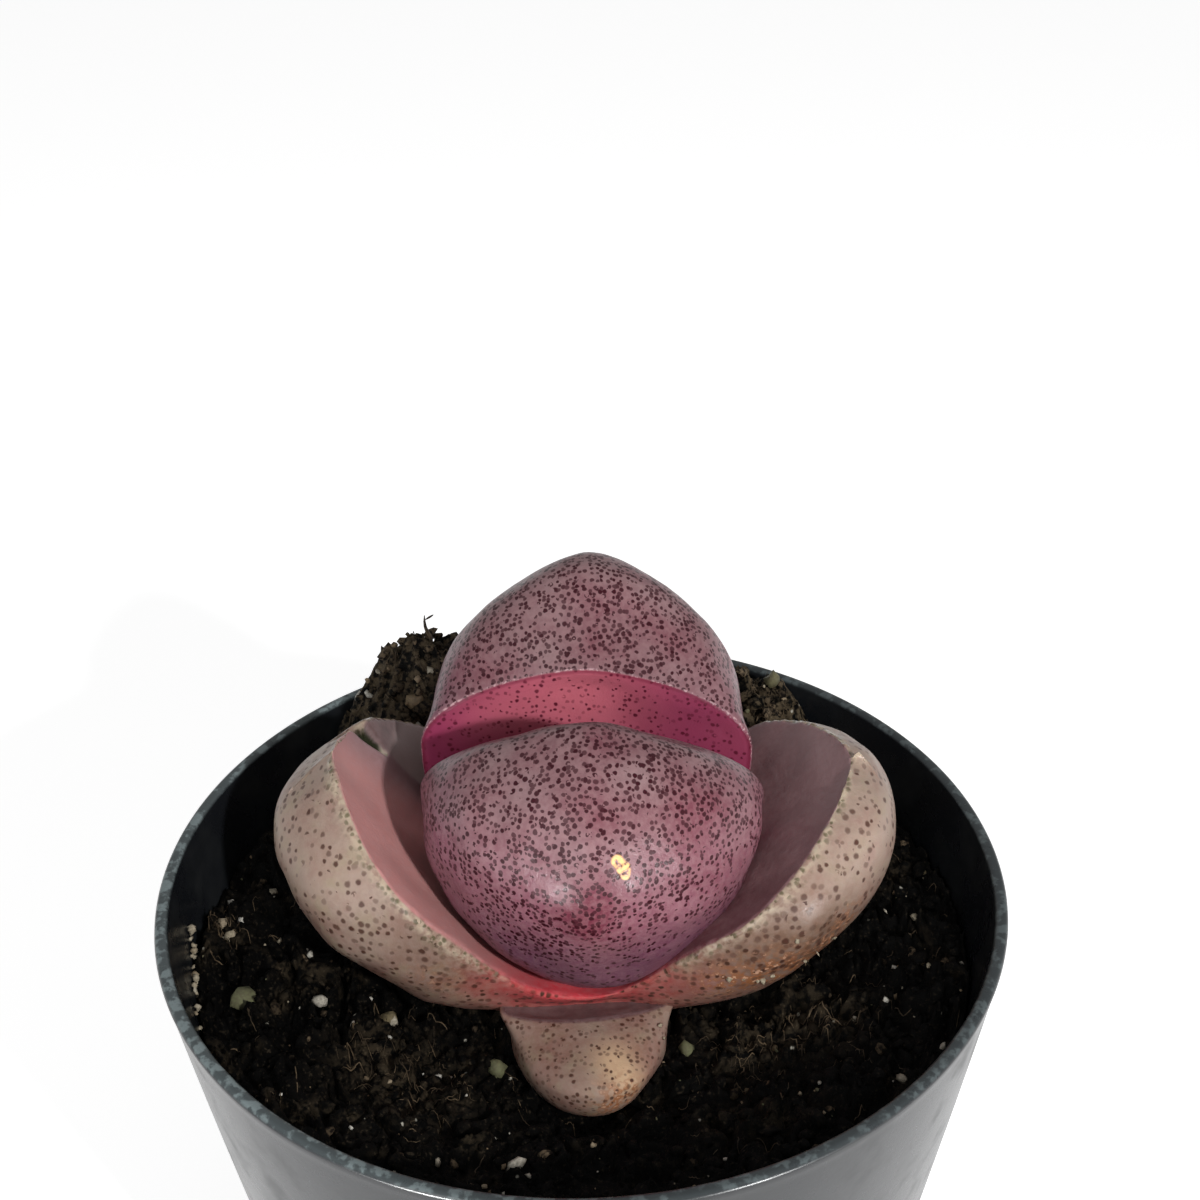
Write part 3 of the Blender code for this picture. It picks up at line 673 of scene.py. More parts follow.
def bend_base(leaf, along, depth, share):
    """Bend past level_from on a circle that is level at the pair's plane, thinning on the way.

    The circle's curvature is sin(fall) / reach. Returns the new distance along and out of the face.
    """
    fall, reach = base_bend(leaf)
    curvature = np.sin(fall) / reach
    past = np.clip(-along - leaf["level_from"], 0.0, None)
    angle = curvature * past
    thinned = leaf["thinning"] * leaf["depth"] * share * np.minimum(angle / fall, THINNING_END)
    depth = depth + thinned
    new_along = along + past - np.sin(angle) / curvature + depth * np.sin(angle)
    return new_along, (1.0 - np.cos(angle)) / curvature + depth * np.cos(angle)


def middle_half(leaf, stations, face_count, skin_count):
    """Cross-sections of one middle leaf from its tip to the shared plane, each a closed ring."""
    fall, reach = base_bend(leaf)
    plane_at = -leaf["level_from"] - fall * reach / np.sin(fall)
    share = np.linspace(0.0, 1.0, DEPTH_STEPS)
    tip_at = np.max(leaf_sizes(leaf, share)[1] + leaf["drift"] * share)
    step = np.linspace(0.0, 1.0, stations + 1)[1:]
    step = 1.1 * step * step / (step + 0.1)
    sections, edges = [], []
    for along in tip_at - (tip_at - plane_at) * step:
        across, depth, share_here, edge = half_outline(leaf, along, face_count, skin_count)
        new_along, out = bend_base(leaf, np.full_like(depth, along), depth, share_here)
        right = np.stack((across, new_along, out), -1)
        left = right[-2:0:-1] * (-1.0, 1.0, 1.0)
        sections.append(np.concatenate((right, left)))
        edges.append(np.concatenate((edge, edge[-2:0:-1])))
    sections = np.array(sections)
    tip = np.array((0.0, tip_at, sections[0, :, 2].mean()))
    axes = leaf_axes(leaf)
    centre = np.array(leaf["centre"])
    return centre + sections @ axes, np.array(edges), centre + tip @ axes


def front_first(rings, edge):
    """The rings and their edge marks, turned round where their places don't run by the front side first."""
    a_little_round = 10
    if rings[-1, a_little_round, 1] > rings[-1, 0, 1]:
        return np.roll(rings[:, ::-1], 1, axis=1), np.roll(edge[:, ::-1], 1, axis=1)
    return rings, edge


def middle_marks(rings, edge):
    """Where the middle pair is warmer, more dotted, corky or split, and where light, shade and a glow are
    painted on it.
    """
    x, y, z = rings[..., 0], rings[..., 1], rings[..., 2]
    from_plane = np.abs(x - PAIR_PLANE_X)
    low = 1.0 - smooth_step(z, *WARM_Z)
    left = smooth_step(-x, *LEFT_SIDE)
    # Darker and redder near the seam and low down: partly the skin's colour, partly painted shade low down
    warm = 0.6 * (1.0 - smooth_step(from_plane, *WARM_SPREAD)) + 0.55 * low
    dots = 0.7 + 0.3 * low + spots(rings, BROWN_DOT_SPOTS)
    groove, along_split = split_groove(rings)
    return {
        "edge": edge,
        "warm": limited(warm + 0.12 * waves(rings, 5.0, 51)),
        "dotted": limited(dots + 0.15 * waves(rings, 4.0, 52)),
        # Painted glow of light through the skin at the band, over its own red
        "glow": limited(spots(rings, BAND_GLOW)),
        "cork": limited(spots(rings, PAIR_CORK)),
        # Painted light and shade: the front strip of the left leaf's inner face is painted lit, the rest of
        # the inner faces is painted in shade
        "shade": 1.0 - 0.85 * left * (1.0 - smooth_step(y, *SHADOW_Y)),
        "rim": smooth_step(from_plane, *RIM_SPREAD),
        "brown": limited(spots(rings, PAIR_BROWN)),
        # Painted light on the lobe where it lies in shade, and painted shade over its lit part
        "lobe": left * smooth_step(y, *LOBE_Y),
        "painted_shade": left * smooth_step(y, *PAINTED_SHADE_Y) * smooth_step(z, *PAINTED_SHADE_Z),
        # Painted shade: the inner faces are darker low down
        "deep": 1.0 - smooth_step(z, *DEEP_SHADE_Z),
        "split": smooth_step(groove, 0.25, 0.6),
        "scar": smooth_step(along_split, 0.72, 0.92),
    }


def round_pair_edges(rings, edges, reach, passes):
    """Round the creases that run along the closed rings, less where the rings get small.

    Near a crease each point moves to the mean of its neighbours in the ring, by
    exp(-(distance / reach) ** 2).
    """
    spread = np.linalg.norm(rings - rings.mean(axis=1, keepdims=True), axis=-1).mean(axis=1)
    fade = smooth_step(spread, 0.8, 3.0)[:, None, None]
    for _ in range(passes):
        middle = 0.5 * (np.roll(rings, 1, axis=1) + np.roll(rings, -1, axis=1))
        away = nearest(rings, [rings[:, edge:][:, :1] for edge in edges])
        rings = rings + (middle - rings) * fade * np.exp(-((away / reach) ** 2))[..., None]
    return rings


def soften_tips(rings, tips, reach, passes):
    """Blur the surface near each tip: points move towards the mean of their four neighbours."""
    pull = 0.8 * (1.0 - smooth_step(nearest(rings, tips), 0.2 * reach, reach))[..., None]
    for _ in range(passes):
        ended = np.concatenate((rings[:1], rings, rings[-1:]))
        middle = 0.25 * (ended[2:] + ended[:-2] + np.roll(rings, 1, axis=1) + np.roll(rings, -1, axis=1))
        rings = rings + pull * (middle - rings)
    return rings


def split_groove(rings):
    """The split in the left leaf's rim: how far in each point lies, and how far along the split.

    The groove is exp(-(distance / width) ** 2) round a line, widest at the rim. The distance
    leaves out how far a point lies behind the line, so that the groove cuts through the rim.
    """
    start, end = np.array(SPLIT_START), np.array(SPLIT_END)
    step = end - start
    share = (rings - start) @ step / np.sum(step ** 2)
    along = np.clip(share, 0.0, 1.0)
    behind = np.array((step[2], 0.0, -step[0])) / np.hypot(step[0], step[2])
    depth = (rings - start) @ behind
    away = np.linalg.norm(rings - start - along[..., None] * step - depth[..., None] * behind, axis=-1)
    near = 1.0 - smooth_step(np.abs(depth), *SPLIT_FADE)
    return near * np.exp(-((away / (SPLIT_WIDTH * (1.0 - 0.7 * along))) ** 2)), along


def round_seam(rings, reach, passes):
    """Smooth the pair along its length near the shared plane, by exp(-(distance / reach) ** 2)."""
    for _ in range(passes):
        pull = 0.7 * np.exp(-(((rings[1:-1, :, :1] - PAIR_PLANE_X) / reach) ** 2))
        rings[1:-1] += pull * (0.5 * (rings[2:] + rings[:-2]) - rings[1:-1])
    return rings


def build_middle_pair(material):
    """Both middle leaves as one body: cross-sections from the left tip over the seam to the right tip.

    Near the plane each ring fades into the section that both leaves share there.
    """
    left, left_edge, left_tip = middle_half(LEAVES["middle_leaf_left"], **PAIR_LEAF)
    right, right_edge, right_tip = middle_half(LEAVES["middle_leaf_right"], **PAIR_LEAF)
    left, left_edge = front_first(left, left_edge)
    right, right_edge = front_first(right, right_edge)
    shared = 0.5 * (left[-1] + right[-1])
    middle = 0.5 * (shared[:, 1].max() + shared[:, 1].min())
    half = 0.5 * (shared[:, 1].max() - shared[:, 1].min())
    shared[:, 1] = SHARED_MIDDLE_Y + (shared[:, 1] - middle) * SHARED_HALF_WIDTH / half
    top, low = shared[:, 2].max(), shared[:, 2].min()
    shared[:, 2] = SHARED_TOP_Z + (shared[:, 2] - top) * SHARED_DEPTH / (top - low)
    for half_rings in (left, right):
        away = np.abs(half_rings[..., 0].mean(axis=1) - PAIR_PLANE_X)[:, None, None]
        pull = 1.0 - smooth_step(away, *SHARED_FADE)
        half_rings[-1, :, 0] = PAIR_PLANE_X
        half_rings[..., 1:] += pull * (shared[:, 1:] - half_rings[..., 1:])
    rings = np.concatenate((left, right[-2::-1]))
    edge = np.concatenate((left_edge, right_edge[-2::-1]))
    face_edge = PAIR_LEAF["face_count"]
    rings = round_pair_edges(rings, (face_edge, -face_edge), *PAIR_EDGE_ROUNDING)
    rings = soften_tips(rings, (left_tip, right_tip), *PAIR_TIP_ROUNDING)
    rings = round_seam(rings, *PAIR_SEAM_ROUNDING)
    crumpled = relief(rings, RIM_CRUMPLE) * np.exp(-(((edge - 0.1) / 0.45) ** 2))
    uneven = relief(rings, PAIR_UNEVENNESS)
    lift = (uneven + crumpled) * smooth_step(nearest(rings, (left_tip, right_tip)), 0.3, 2.0)
    groove, along = split_groove(rings)
    marks = middle_marks(rings, edge)
    rings = rings + grid_normals(rings) * lift[..., None]
    rings = rings + (groove * (1.0 - 0.8 * along))[..., None] * np.array(SPLIT_MOVE)
    mesh = mesh_of_rings("middle_pair", rings, left_tip, right_tip, marks)
    return link("middle_pair", mesh, material, "middle_leaves", "middle_leaf_left", "middle_leaf_right")


def outer_radius(height):
    """Pot's outer radius: the taper grows a little with the depth below the rim."""
    below = POT_HEIGHT - height
    return RIM_RADIUS - RIM_SLOPE * below - WALL_CURVE * below * below


def inner_radius(height):
    return outer_radius(height) - WALL


def soil_clods(x, y):
    """Relief of clods: for each length of wave the size of a soft noise, so that creases part the clods.

    The places are first pushed about by a slow noise, so that no two clods look alike.
    """
    flat = np.stack((x, y), -1)
    pushed = flat + 0.8 * np.stack((waves(flat, 4.0, 24), waves(flat, 4.0, 25)), -1)
    clods = np.zeros_like(x)
    for index, (length, height) in enumerate(SOIL_BILLOWS):
        clods += height * (np.abs(waves(pushed, length, 30 + index)) - 0.45)
    return clods


def soil_height(x, y):
    """Top of the soil: a basin that rises to the sides, a heap along the back, and clods."""
    radius = np.hypot(x, y)
    angle = np.degrees(np.arctan2(y, x))
    basin = SOIL_LEVEL + SOIL_SIDE_RISE * smooth_step(radius, *BASIN_RADII) * (1.0 + y * BACK_RISE_PER_MM)
    along = smooth_step(angle, *HEAP_START) * (1.0 - smooth_step(angle, *HEAP_END))
    peak = np.exp(-(((angle - HEAP_PEAK_ANGLE) / HEAP_PEAK_SPREAD) ** 2))
    across = smooth_step(radius, HEAP_INNER_RADIUS, HEAP_CREST_RADIUS)
    fall = smooth_step(radius, HEAP_CREST_RADIUS, HEAP_CREST_RADIUS + HEAP_OUTER_WIDTH)
    heap = (HEAP_RISE * along + HEAP_PEAK * peak) * across * (1.0 - HEAP_OUTER_FALL * fall)
    lumps_end = RIM_RADIUS - LUMPS_END
    away_from_wall = 1.0 - 0.6 * smooth_step(radius, lumps_end - LUMPS_END, lumps_end)
    hollow_x, hollow_y, hollow_radius, depth = NUB_HOLLOW
    hollow = depth * np.exp(-(np.hypot(x - hollow_x, y - hollow_y) / hollow_radius) ** 2)
    return basin + heap + soil_clods(x, y) * away_from_wall - hollow


def soil_brown(x, y):
    """How brown and fibrous the soil is: on the heap and round the tufts of fibres."""
    tufts = [(a, b, 0.0, 1.3 * spread, 0.3) for a, b, spread in FIBRE_TUFTS]
    near_tufts = spots(np.stack((x, y, 0.0 * x), -1), tufts)
    return limited(0.9 * smooth_step(y, *BROWN_HEAP_Y) + near_tufts)


def build_soil(material):
    """Soil body: polar rings of the relief on top, the pot's inner form at the side, a flat underside."""
    turn = 2.0 * np.pi * np.arange(SOIL_COLUMNS) / SOIL_COLUMNS
    across = np.array((np.cos(turn), np.sin(turn)))
    edge = np.full(SOIL_COLUMNS, inner_radius(SOIL_LEVEL) - GAP)
    for _ in range(SOIL_EDGE_PASSES):
        height = soil_height(*(edge * across))
        edge = inner_radius(np.minimum(height, POT_HEIGHT)) - GAP
    rings = []
    floor = FLOOR_RAISE + FLOOR_THICKNESS + GAP
    bottom_ring = (inner_radius(floor) - GAP - FLOOR_FILLET) * across
    rings.append(np.column_stack((*bottom_ring, np.full(SOIL_COLUMNS, floor))))
    for z in np.linspace(floor + 1.0, SOIL_LEVEL - 3.0, SOIL_SIDE_RINGS):
        rings.append(np.column_stack((*((inner_radius(z) - GAP) * across), np.full(SOIL_COLUMNS, z))))
    for share in np.linspace(0.0, 1.0, SOIL_TOP_RINGS + 1)[:0:-1] ** SOIL_RING_POWER:
        x, y = edge * share * across
        rings.append(np.column_stack((x, y, soil_height(x, y))))
    low = (0.0, 0.0, floor)
    high = (0.0, 0.0, float(soil_height(np.zeros(1), np.zeros(1))[0]))
    rings = np.array(rings)
    mesh = mesh_of_rings("soil_bed", rings, low, high, {"brown": soil_brown(rings[..., 0], rings[..., 1])})
    return link("soil_bed", mesh, material, "soil", "soil")


def lump_form():
    """Ball of 18 points and 32 triangles: an eight-sided solid with every side cut in four."""
    corner = np.array(((1, 0, 0), (-1, 0, 0), (0, 1, 0), (0, -1, 0), (0, 0, 1), (0, 0, -1)), dtype=float)
    sides = [(0, 2, 4), (2, 1, 4), (1, 3, 4), (3, 0, 4), (2, 0, 5), (1, 2, 5), (3, 1, 5), (0, 3, 5)]
    points = list(corner)
    halfway = {}
    faces = []
    for side in sides:
        middle = []
        for a, b in ((side[0], side[1]), (side[1], side[2]), (side[2], side[0])):
            key = (min(a, b), max(a, b))
            if key not in halfway:
                halfway[key] = len(points)
                points.append((corner[a] + corner[b]) / np.sqrt(2.0))
            middle.append(halfway[key])
        faces += [(side[0], middle[0], middle[2]), (side[1], middle[1], middle[0])]
        faces += [(side[2], middle[2], middle[1]), tuple(middle)]
    return np.array(points), np.array(faces)


def random_turns(random, count):
    """Random rotation matrices: two random directions made square to each other, and their cross product."""
    first = random.normal(size=(count, 3))
    first /= np.linalg.norm(first, axis=1)[:, None]
    second = random.normal(size=(count, 3))
    second -= np.sum(first * second, axis=1)[:, None] * first
    second /= np.linalg.norm(second, axis=1)[:, None]
    return np.stack((first, second, np.cross(first, second)), 1)


def build_lumps(name, centres, radii, tones, squash, seed, material):
    """Many small uneven balls in one mesh, each turned and squashed its own way, with a tone mark."""
    random = np.random.default_rng(seed)
    form, form_faces = lump_form()
    count = len(centres)
    shape = form * random.uniform(0.62, 1.28, (count, len(form), 1))
    shape *= random.uniform(squash, 1.15, (count, 1, 3))
    shape = shape @ random_turns(random, count)
    points = np.asarray(centres)[:, None, :] + shape * np.asarray(radii)[:, None, None]
    faces = form_faces + len(form) * np.arange(count)[:, None, None]
    mesh = mesh_of_faces(name, points.reshape(-1, 3), (faces.reshape(-1, 3),))
    brown = soil_brown(*np.asarray(centres).T[:2])
    for label, values in (("tone", tones), ("brown", brown)):
        layer = mesh.attributes.new(label, "FLOAT", "POINT")
        layer.data.foreach_set("value", np.repeat(values, len(form)).astype(np.float32))
    return link(name, mesh, material, "soil")


def on_soil(random, count, radii, lift, sector=(0.0, 360.0), inner=0.0):
    """Random places on the soil, clear of the wall by each lump's own radius.

    sector limits their compass directions, inner is the least share of the way to the wall.
    """
    angle = np.radians(random.uniform(*sector, count))
    limit = inner_radius(LITTER_LEVEL) - GAP - 1.1 * radii
    reach = limit * np.sqrt(random.uniform(inner ** 2, 1.0, count))
    x, y = reach * np.cos(angle), reach * np.sin(angle)
    return np.column_stack((x, y, soil_height(x, y) + lift * radii))


def build_crumbs(name, count, small, large, squash, lift, seed, material, **region):
    random = np.random.default_rng(seed)
    radii = small + (large - small) * random.uniform(0.0, 1.0, count) ** 2.5
    centres = on_soil(random, count, radii, lift, **region)
    return build_lumps(name, centres, radii, random.uniform(0.0, 1.0, count), squash, seed, material)


def build_marked_grains(material):
    x, y, radii, tones = np.array(MARKED_GRAINS).T
    centres = np.column_stack((x, y, soil_height(x, y) + 0.4 * radii))
    return build_lumps("marked_grains", centres, radii, tones, 0.6, 64, material)


def build_skin_flakes(material):
    """Small dry flakes that stick to the lower leaves."""
    x, y, z, radii = np.array(SKIN_FLAKES).T
    centres = np.column_stack((x, y, z))
    return build_lumps("skin_flakes", centres, radii, np.full(len(x), FLAKE_TONE), 0.3, 71, material)


def build_wall_debris(material):
    """Flakes that stick to the pot's inner wall, strung along WALL_DEBRIS with some scatter."""
    random = np.random.default_rng(66)
    turn, height = np.array(WALL_DEBRIS).T
    along = np.sort(random.uniform(0.0, len(turn) - 1.0, WALL_DEBRIS_COUNT))
    turn = np.radians(np.interp(along, np.arange(len(turn)), turn) + random.normal(0.0, 0.6, len(along)))
    height = np.interp(along, np.arange(len(height)), height) + random.normal(0.0, 0.35, len(along))
    radii = random.uniform(0.16, 0.42, len(along))
    reach = inner_radius(height) - 0.75 * radii
    centres = np.column_stack((reach * np.cos(turn), reach * np.sin(turn), height))
    tones = random.uniform(0.3, 0.62, len(along))
    return build_lumps("wall_debris", centres, radii, tones, 0.45, 67, material)


def build_twig(material):
    """Short forked twig on the heap's peak."""
    steps = np.linspace(0.0, 1.0, FIBRE_STEPS)[:, None]
    foot, top = np.array(TWIG)
    stem = foot + (top - foot) * steps + 0.12 * np.sin(6.0 * steps)
    fork = top - (0.0, 0.0, 0.5) + np.array((0.75, -0.1, 0.55)) * steps
    points, faces = tubes(np.array((stem, fork)), TWIG_RADII, TWIG_SIDES)
    return link("twig", mesh_of_faces("twig", points, faces), material, "soil")


def tubes(paths, radii, sides):
    """Points and quads of many closed round tubes: a ring of points square to the path at each step.

    The radius of each tube is multiplied by sqrt(sin) along it, so that its ends close.
    """
    count, steps = paths.shape[:2]
    along = np.gradient(paths, axis=1)
    along /= np.linalg.norm(along, axis=2)[..., None]
    aside = np.cross(along, np.array((0.13, 0.31, 0.94)))
    aside /= np.linalg.norm(aside, axis=2)[..., None]
    above = np.cross(along, aside)
    turn = 2.0 * np.pi * np.arange(sides) / sides
    taper = np.sqrt(np.sin(np.linspace(0.04, np.pi - 0.04, steps)))
    size = np.asarray(radii)[:, None] * taper
    ring = aside[:, :, None] * np.cos(turn)[:, None] + above[:, :, None] * np.sin(turn)[:, None]
    points = paths[:, :, None] + ring * size[:, :, None, None]
    here, after = np.arange(sides), (np.arange(sides) + 1) % sides
    start = sides * np.arange(steps - 1)[:, None]
    quads = np.stack((start + after, start + here, start + sides + here, start + sides + after), -1)
    tube_start = sides * steps * np.arange(count)[:, None]
    quads = quads.reshape(-1, 4) + tube_start[..., None]
    first = here + tube_start
    last = sides * (steps - 1) + here[::-1] + tube_start
    return points.reshape(-1, 3), (quads.reshape(-1, 4), first, last)


def build_fibres(name, count, lengths, radii, seed, material):
    """Loose root fibres that follow the soil's surface in wandering lines."""
    random = np.random.default_rng(seed)
    length = random.uniform(*lengths, count)
    first_heading = random.uniform(0.0, 2.0 * np.pi, count)[:, None]
    heading = first_heading + np.cumsum(random.normal(0.0, 0.4, (count, FIBRE_STEPS)), axis=1)
    stride = (length / FIBRE_STEPS)[:, None]
    start = on_soil(random, count, 0.16 * length, 0.0)[:, :2]
    tufts = np.array(FIBRE_TUFTS)
    tuft = tufts[random.integers(len(tufts), size=count)]
    in_tuft = tuft[:, :2] + random.normal(size=(count, 2)) * tuft[:, 2:]
    start = np.where(random.uniform(size=(count, 1)) < FIBRES_IN_TUFTS, in_tuft, start)
    x = start[:, :1] + np.cumsum(stride * np.cos(heading), axis=1)
    y = start[:, 1:2] + np.cumsum(stride * np.sin(heading), axis=1)
    limit = inner_radius(LITTER_LEVEL) - 0.6
    far = np.maximum(np.hypot(x, y) / limit, 1.0)
    x, y = x / far, y / far
    z = soil_height(x, y) + random.uniform(-0.1, 0.45, (count, 1)) + 0.12 * np.sin(heading)
    points, faces = tubes(np.stack((x, y, z), -1), random.uniform(*radii, count), FIBRE_SIDES)
    return link(name, mesh_of_faces(name, points, faces), material, "soil")


def build_pot(material):
    """Turned wall and floor: the closed outline carried round the pot's axis."""
    floor_top = FLOOR_RAISE + FLOOR_THICKNESS
    corner = np.linspace(0.0, 0.5 * np.pi, CORNER_STEPS)
    rounding = RIM_ROUNDING * 1.6
    outer_round = np.stack((RIM_RADIUS - rounding * (1.0 - np.sin(corner)),
                            POT_HEIGHT - rounding * (1.0 - np.cos(corner))), -1)
    outside = np.array([(outer_radius(z), z) for z in np.linspace(POT_HEIGHT - 1.0, 0.6, OUTER_STEPS)])
    foot_outer = outer_radius(0.0) - RIM_ROUNDING
    foot_inner = foot_outer - FOOT_WIDTH
    base = np.array(((foot_outer, 0.0), (foot_inner, 0.0), (foot_inner - FOOT_DRAFT, FLOOR_RAISE),
                     (DRAIN_RADIUS, FLOOR_RAISE), (DRAIN_RADIUS, floor_top),
                     (inner_radius(floor_top) - FLOOR_FILLET, floor_top)))
    inside_z = np.linspace(floor_top + 1.0, POT_HEIGHT - 1.0, INNER_STEPS)
    inside = np.stack((inner_radius(inside_z), inside_z), -1)
    inner_edge = RIM_RADIUS - WALL
    inner_round = np.stack((inner_edge + rounding * (1.0 - np.cos(corner)),
                            POT_HEIGHT - rounding * (1.0 - np.sin(corner))), -1)
    profile = np.concatenate((outer_round, outside, base, inside, inner_round))
    turn = 2.0 * np.pi * np.arange(POT_SIDES) / POT_SIDES
    rings = np.stack((profile[:, 0] * np.cos(turn)[:, None], profile[:, 0] * np.sin(turn)[:, None],
                      profile[:, 1] + 0.0 * turn[:, None]), -1)
    rows, columns = rings.shape[:2]
    here, after = np.arange(columns), (np.arange(columns) + 1) % columns
    start = columns * np.arange(rows)[:, None]
    following = columns * ((np.arange(rows) + 1) % rows)[:, None]
    quads = np.stack((start + here, start + after, following + after, following + here), -1)
    mesh = mesh_of_faces("nursery_pot", rings.reshape(-1, 3), (quads.reshape(-1, 4)[:, ::-1],))
    return link("nursery_pot", mesh, material, "pot", "pot")


def add_node(tree, kind, inputs=None, **settings):
    """New shader node with its settings, and its inputs set to values or linked to sockets."""
    node = tree.nodes.new(kind)
    for setting, value in settings.items():
        setattr(node, setting, value)
    for key, value in (inputs or {}).items():
        if isinstance(value, bpy.types.NodeSocket):
            tree.links.new(value, node.inputs[key])
        else:
            node.inputs[key].default_value = value
    return node


def calculate(tree, operation, first, second=0.0):
    node = add_node(tree, "ShaderNodeMath", {0: first, 1: second}, operation=operation)
    return node.outputs[0]


def times(tree, first, second):
    return calculate(tree, "MULTIPLY", first, second)


def remap(tree, value, low, high, to_low=0.0, to_high=1.0):
    """Smooth ramp of a value between two limits."""
    inputs = {"Value": value, "From Min": low, "From Max": high, "To Min": to_low, "To Max": to_high}
    return add_node(tree, "ShaderNodeMapRange", inputs, interpolation_type="SMOOTHSTEP").outputs["Result"]


def blend(tree, factor, first, second):
    """Mix of two colours."""
    node = add_node(tree, "ShaderNodeMix", {0: factor}, data_type="RGBA")
    for index, colour in ((6, first), (7, second)):
        if isinstance(colour, bpy.types.NodeSocket):
            tree.links.new(colour, node.inputs[index])
        else:
            node.inputs[index].default_value = (*colour, 1.0)
    return node.outputs[2]


def mark(tree, name):
    """A point attribute of the piece."""
    return add_node(tree, "ShaderNodeAttribute", attribute_name=name).outputs["Fac"]


def place(tree):
    """Object coordinates, in metres."""
    return add_node(tree, "ShaderNodeTexCoord").outputs["Object"]


def noise(tree, vector, size, detail=2.0):
    """Noise whose features have about the given size in millimetres."""
    inputs = {"Vector": vector, "Scale": 1.0 / (size * MM), "Detail": detail, "Roughness": 0.55}
    return add_node(tree, "ShaderNodeTexNoise", inputs).outputs["Fac"]


def new_group(name, inputs, outputs):
    """Empty node group with named float inputs and outputs."""
    group = bpy.data.node_groups.new(name, "ShaderNodeTree")
    for label, value in inputs:
        group.interface.new_socket(label, in_out="INPUT", socket_type="NodeSocketFloat").default_value = value
    for label in outputs:
        group.interface.new_socket(label, in_out="OUTPUT", socket_type="NodeSocketFloat")
    return group, group.nodes.new("NodeGroupInput").outputs, group.nodes.new("NodeGroupOutput").inputs


def vector_step(tree, operation, first, second, output=0):
    return add_node(tree, "ShaderNodeVectorMath", {0: first, 1: second}, operation=operation).outputs[output]


def make_dots_group():
    """Pigment dots: scattered points near the skin, each one a round dot seen square to the skin.

    A dot's size is measured from its point along the skin, leaving out the distance through it.
    Cell is the spacing in millimetres, Radius a share of it and Density the share of dots kept.
    """
    inputs = (("Cell", 0.6), ("Radius", 0.3), ("Density", 1.0), ("Softness", 0.25))
    group, given, result = new_group("pigment_dots", inputs, ("Mask", "Tone"))
    scale = calculate(group, "DIVIDE", 1.0 / MM, given["Cell"])
    vector = place(group)
    wobble = add_node(group, "ShaderNodeTexNoise", {"Vector": vector, "Scale": 2400.0, "Detail": 1.0})
    centred = vector_step(group, "SUBTRACT", wobble.outputs["Color"], (0.5, 0.5, 0.5))
    shift = vector_step(group, "MULTIPLY", centred, (DOT_WAVER * MM,) * 3)
    moved = vector_step(group, "ADD", vector, shift)
    cells = add_node(group, "ShaderNodeTexVoronoi", {"Vector": moved, "Scale": scale, "Randomness": 0.85})
    away = vector_step(group, "SUBTRACT", moved, cells.outputs["Position"])
    square = times(group, scale, scale)
    normal = add_node(group, "ShaderNodeNewGeometry").outputs["Normal"]
    through = vector_step(group, "DOT_PRODUCT", away, normal, "Value")
    whole = times(group, vector_step(group, "DOT_PRODUCT", away, away, "Value"), square)
    deep = times(group, times(group, through, through), square)
    beside = calculate(group, "MAXIMUM", calculate(group, "SUBTRACT", whole, deep), 0.0)
    along = calculate(group, "SQRT", beside)
    chance = add_node(group, "ShaderNodeSeparateColor", {"Color": cells.outputs["Color"]}).outputs
    radius = times(group, given["Radius"], remap(group, chance["Green"], 0.0, 1.0, 0.75, 1.2))
    inner = times(group, radius, calculate(group, "SUBTRACT", 1.0, given["Softness"]))
    outer = times(group, radius, calculate(group, "ADD", 1.0, given["Softness"]))
    dot = remap(group, along, outer, inner)
    kept = calculate(group, "LESS_THAN", chance["Red"], given["Density"])
    near = calculate(group, "LESS_THAN", deep, DOT_DEPTH * DOT_DEPTH)
    group.links.new(times(group, dot, times(group, kept, near)), result["Mask"])
    group.links.new(chance["Blue"], result["Tone"])
    return group


def make_skin_group():
    """Fine waxy skin: pale mottling, and a height for small pores and wrinkles. Size is in millimetres."""
    group, given, result = new_group("waxy_skin", (("Size", 0.5),), ("Mottle", "Height"))
    scale = calculate(group, "DIVIDE", 1.0 / MM, given["Size"])
    vector = place(group)
    fine = add_node(group, "ShaderNodeTexNoise", {"Vector": vector, "Scale": scale, "Detail": 4.0,
                                                  "Roughness": 0.6}).outputs["Fac"]
    pore_scale = times(group, scale, 3.0)
    pores = add_node(group, "ShaderNodeTexVoronoi", {"Vector": vector, "Scale": pore_scale})
    height = calculate(group, "ADD", fine, times(group, pores.outputs["Distance"], 0.25))
    group.links.new(remap(group, fine, 0.3, 0.7), result["Mottle"])
    group.links.new(height, result["Height"])
    return group


def use_group(tree, group, inputs):
    return add_node(tree, "ShaderNodeGroup", inputs, node_tree=group).outputs


def start_material(name):
    material = bpy.data.materials.new(name)
    material.use_nodes = True
    return material, material.node_tree, material.node_tree.nodes["Principled BSDF"]


def feed(tree, shader, colour, roughness, height=None, depth=0.0):
    """Link a colour, a roughness and a height in millimetres of depth to a shader."""
    tree.links.new(colour, shader.inputs["Base Color"])
    if isinstance(roughness, bpy.types.NodeSocket):
        tree.links.new(roughness, shader.inputs["Roughness"])
    else:
        shader.inputs["Roughness"].default_value = roughness
    if height is not None:
        bump = add_node(tree, "ShaderNodeBump", {"Height": height, "Distance": depth * MM, "Strength": 1.0})
        tree.links.new(bump.outputs["Normal"], shader.inputs["Normal"])


def finish_skin(shader, reflection, under_light):
    """Constant values of a leaf's skin: how much it reflects, and how much light spreads under it."""
    shader.inputs["Specular IOR Level"].default_value = reflection
    shader.inputs["Subsurface Weight"].default_value = under_light
    shader.inputs["Subsurface Radius"].default_value = (1.0, 0.35, 0.3)
    shader.inputs["Subsurface Scale"].default_value = 0.0015


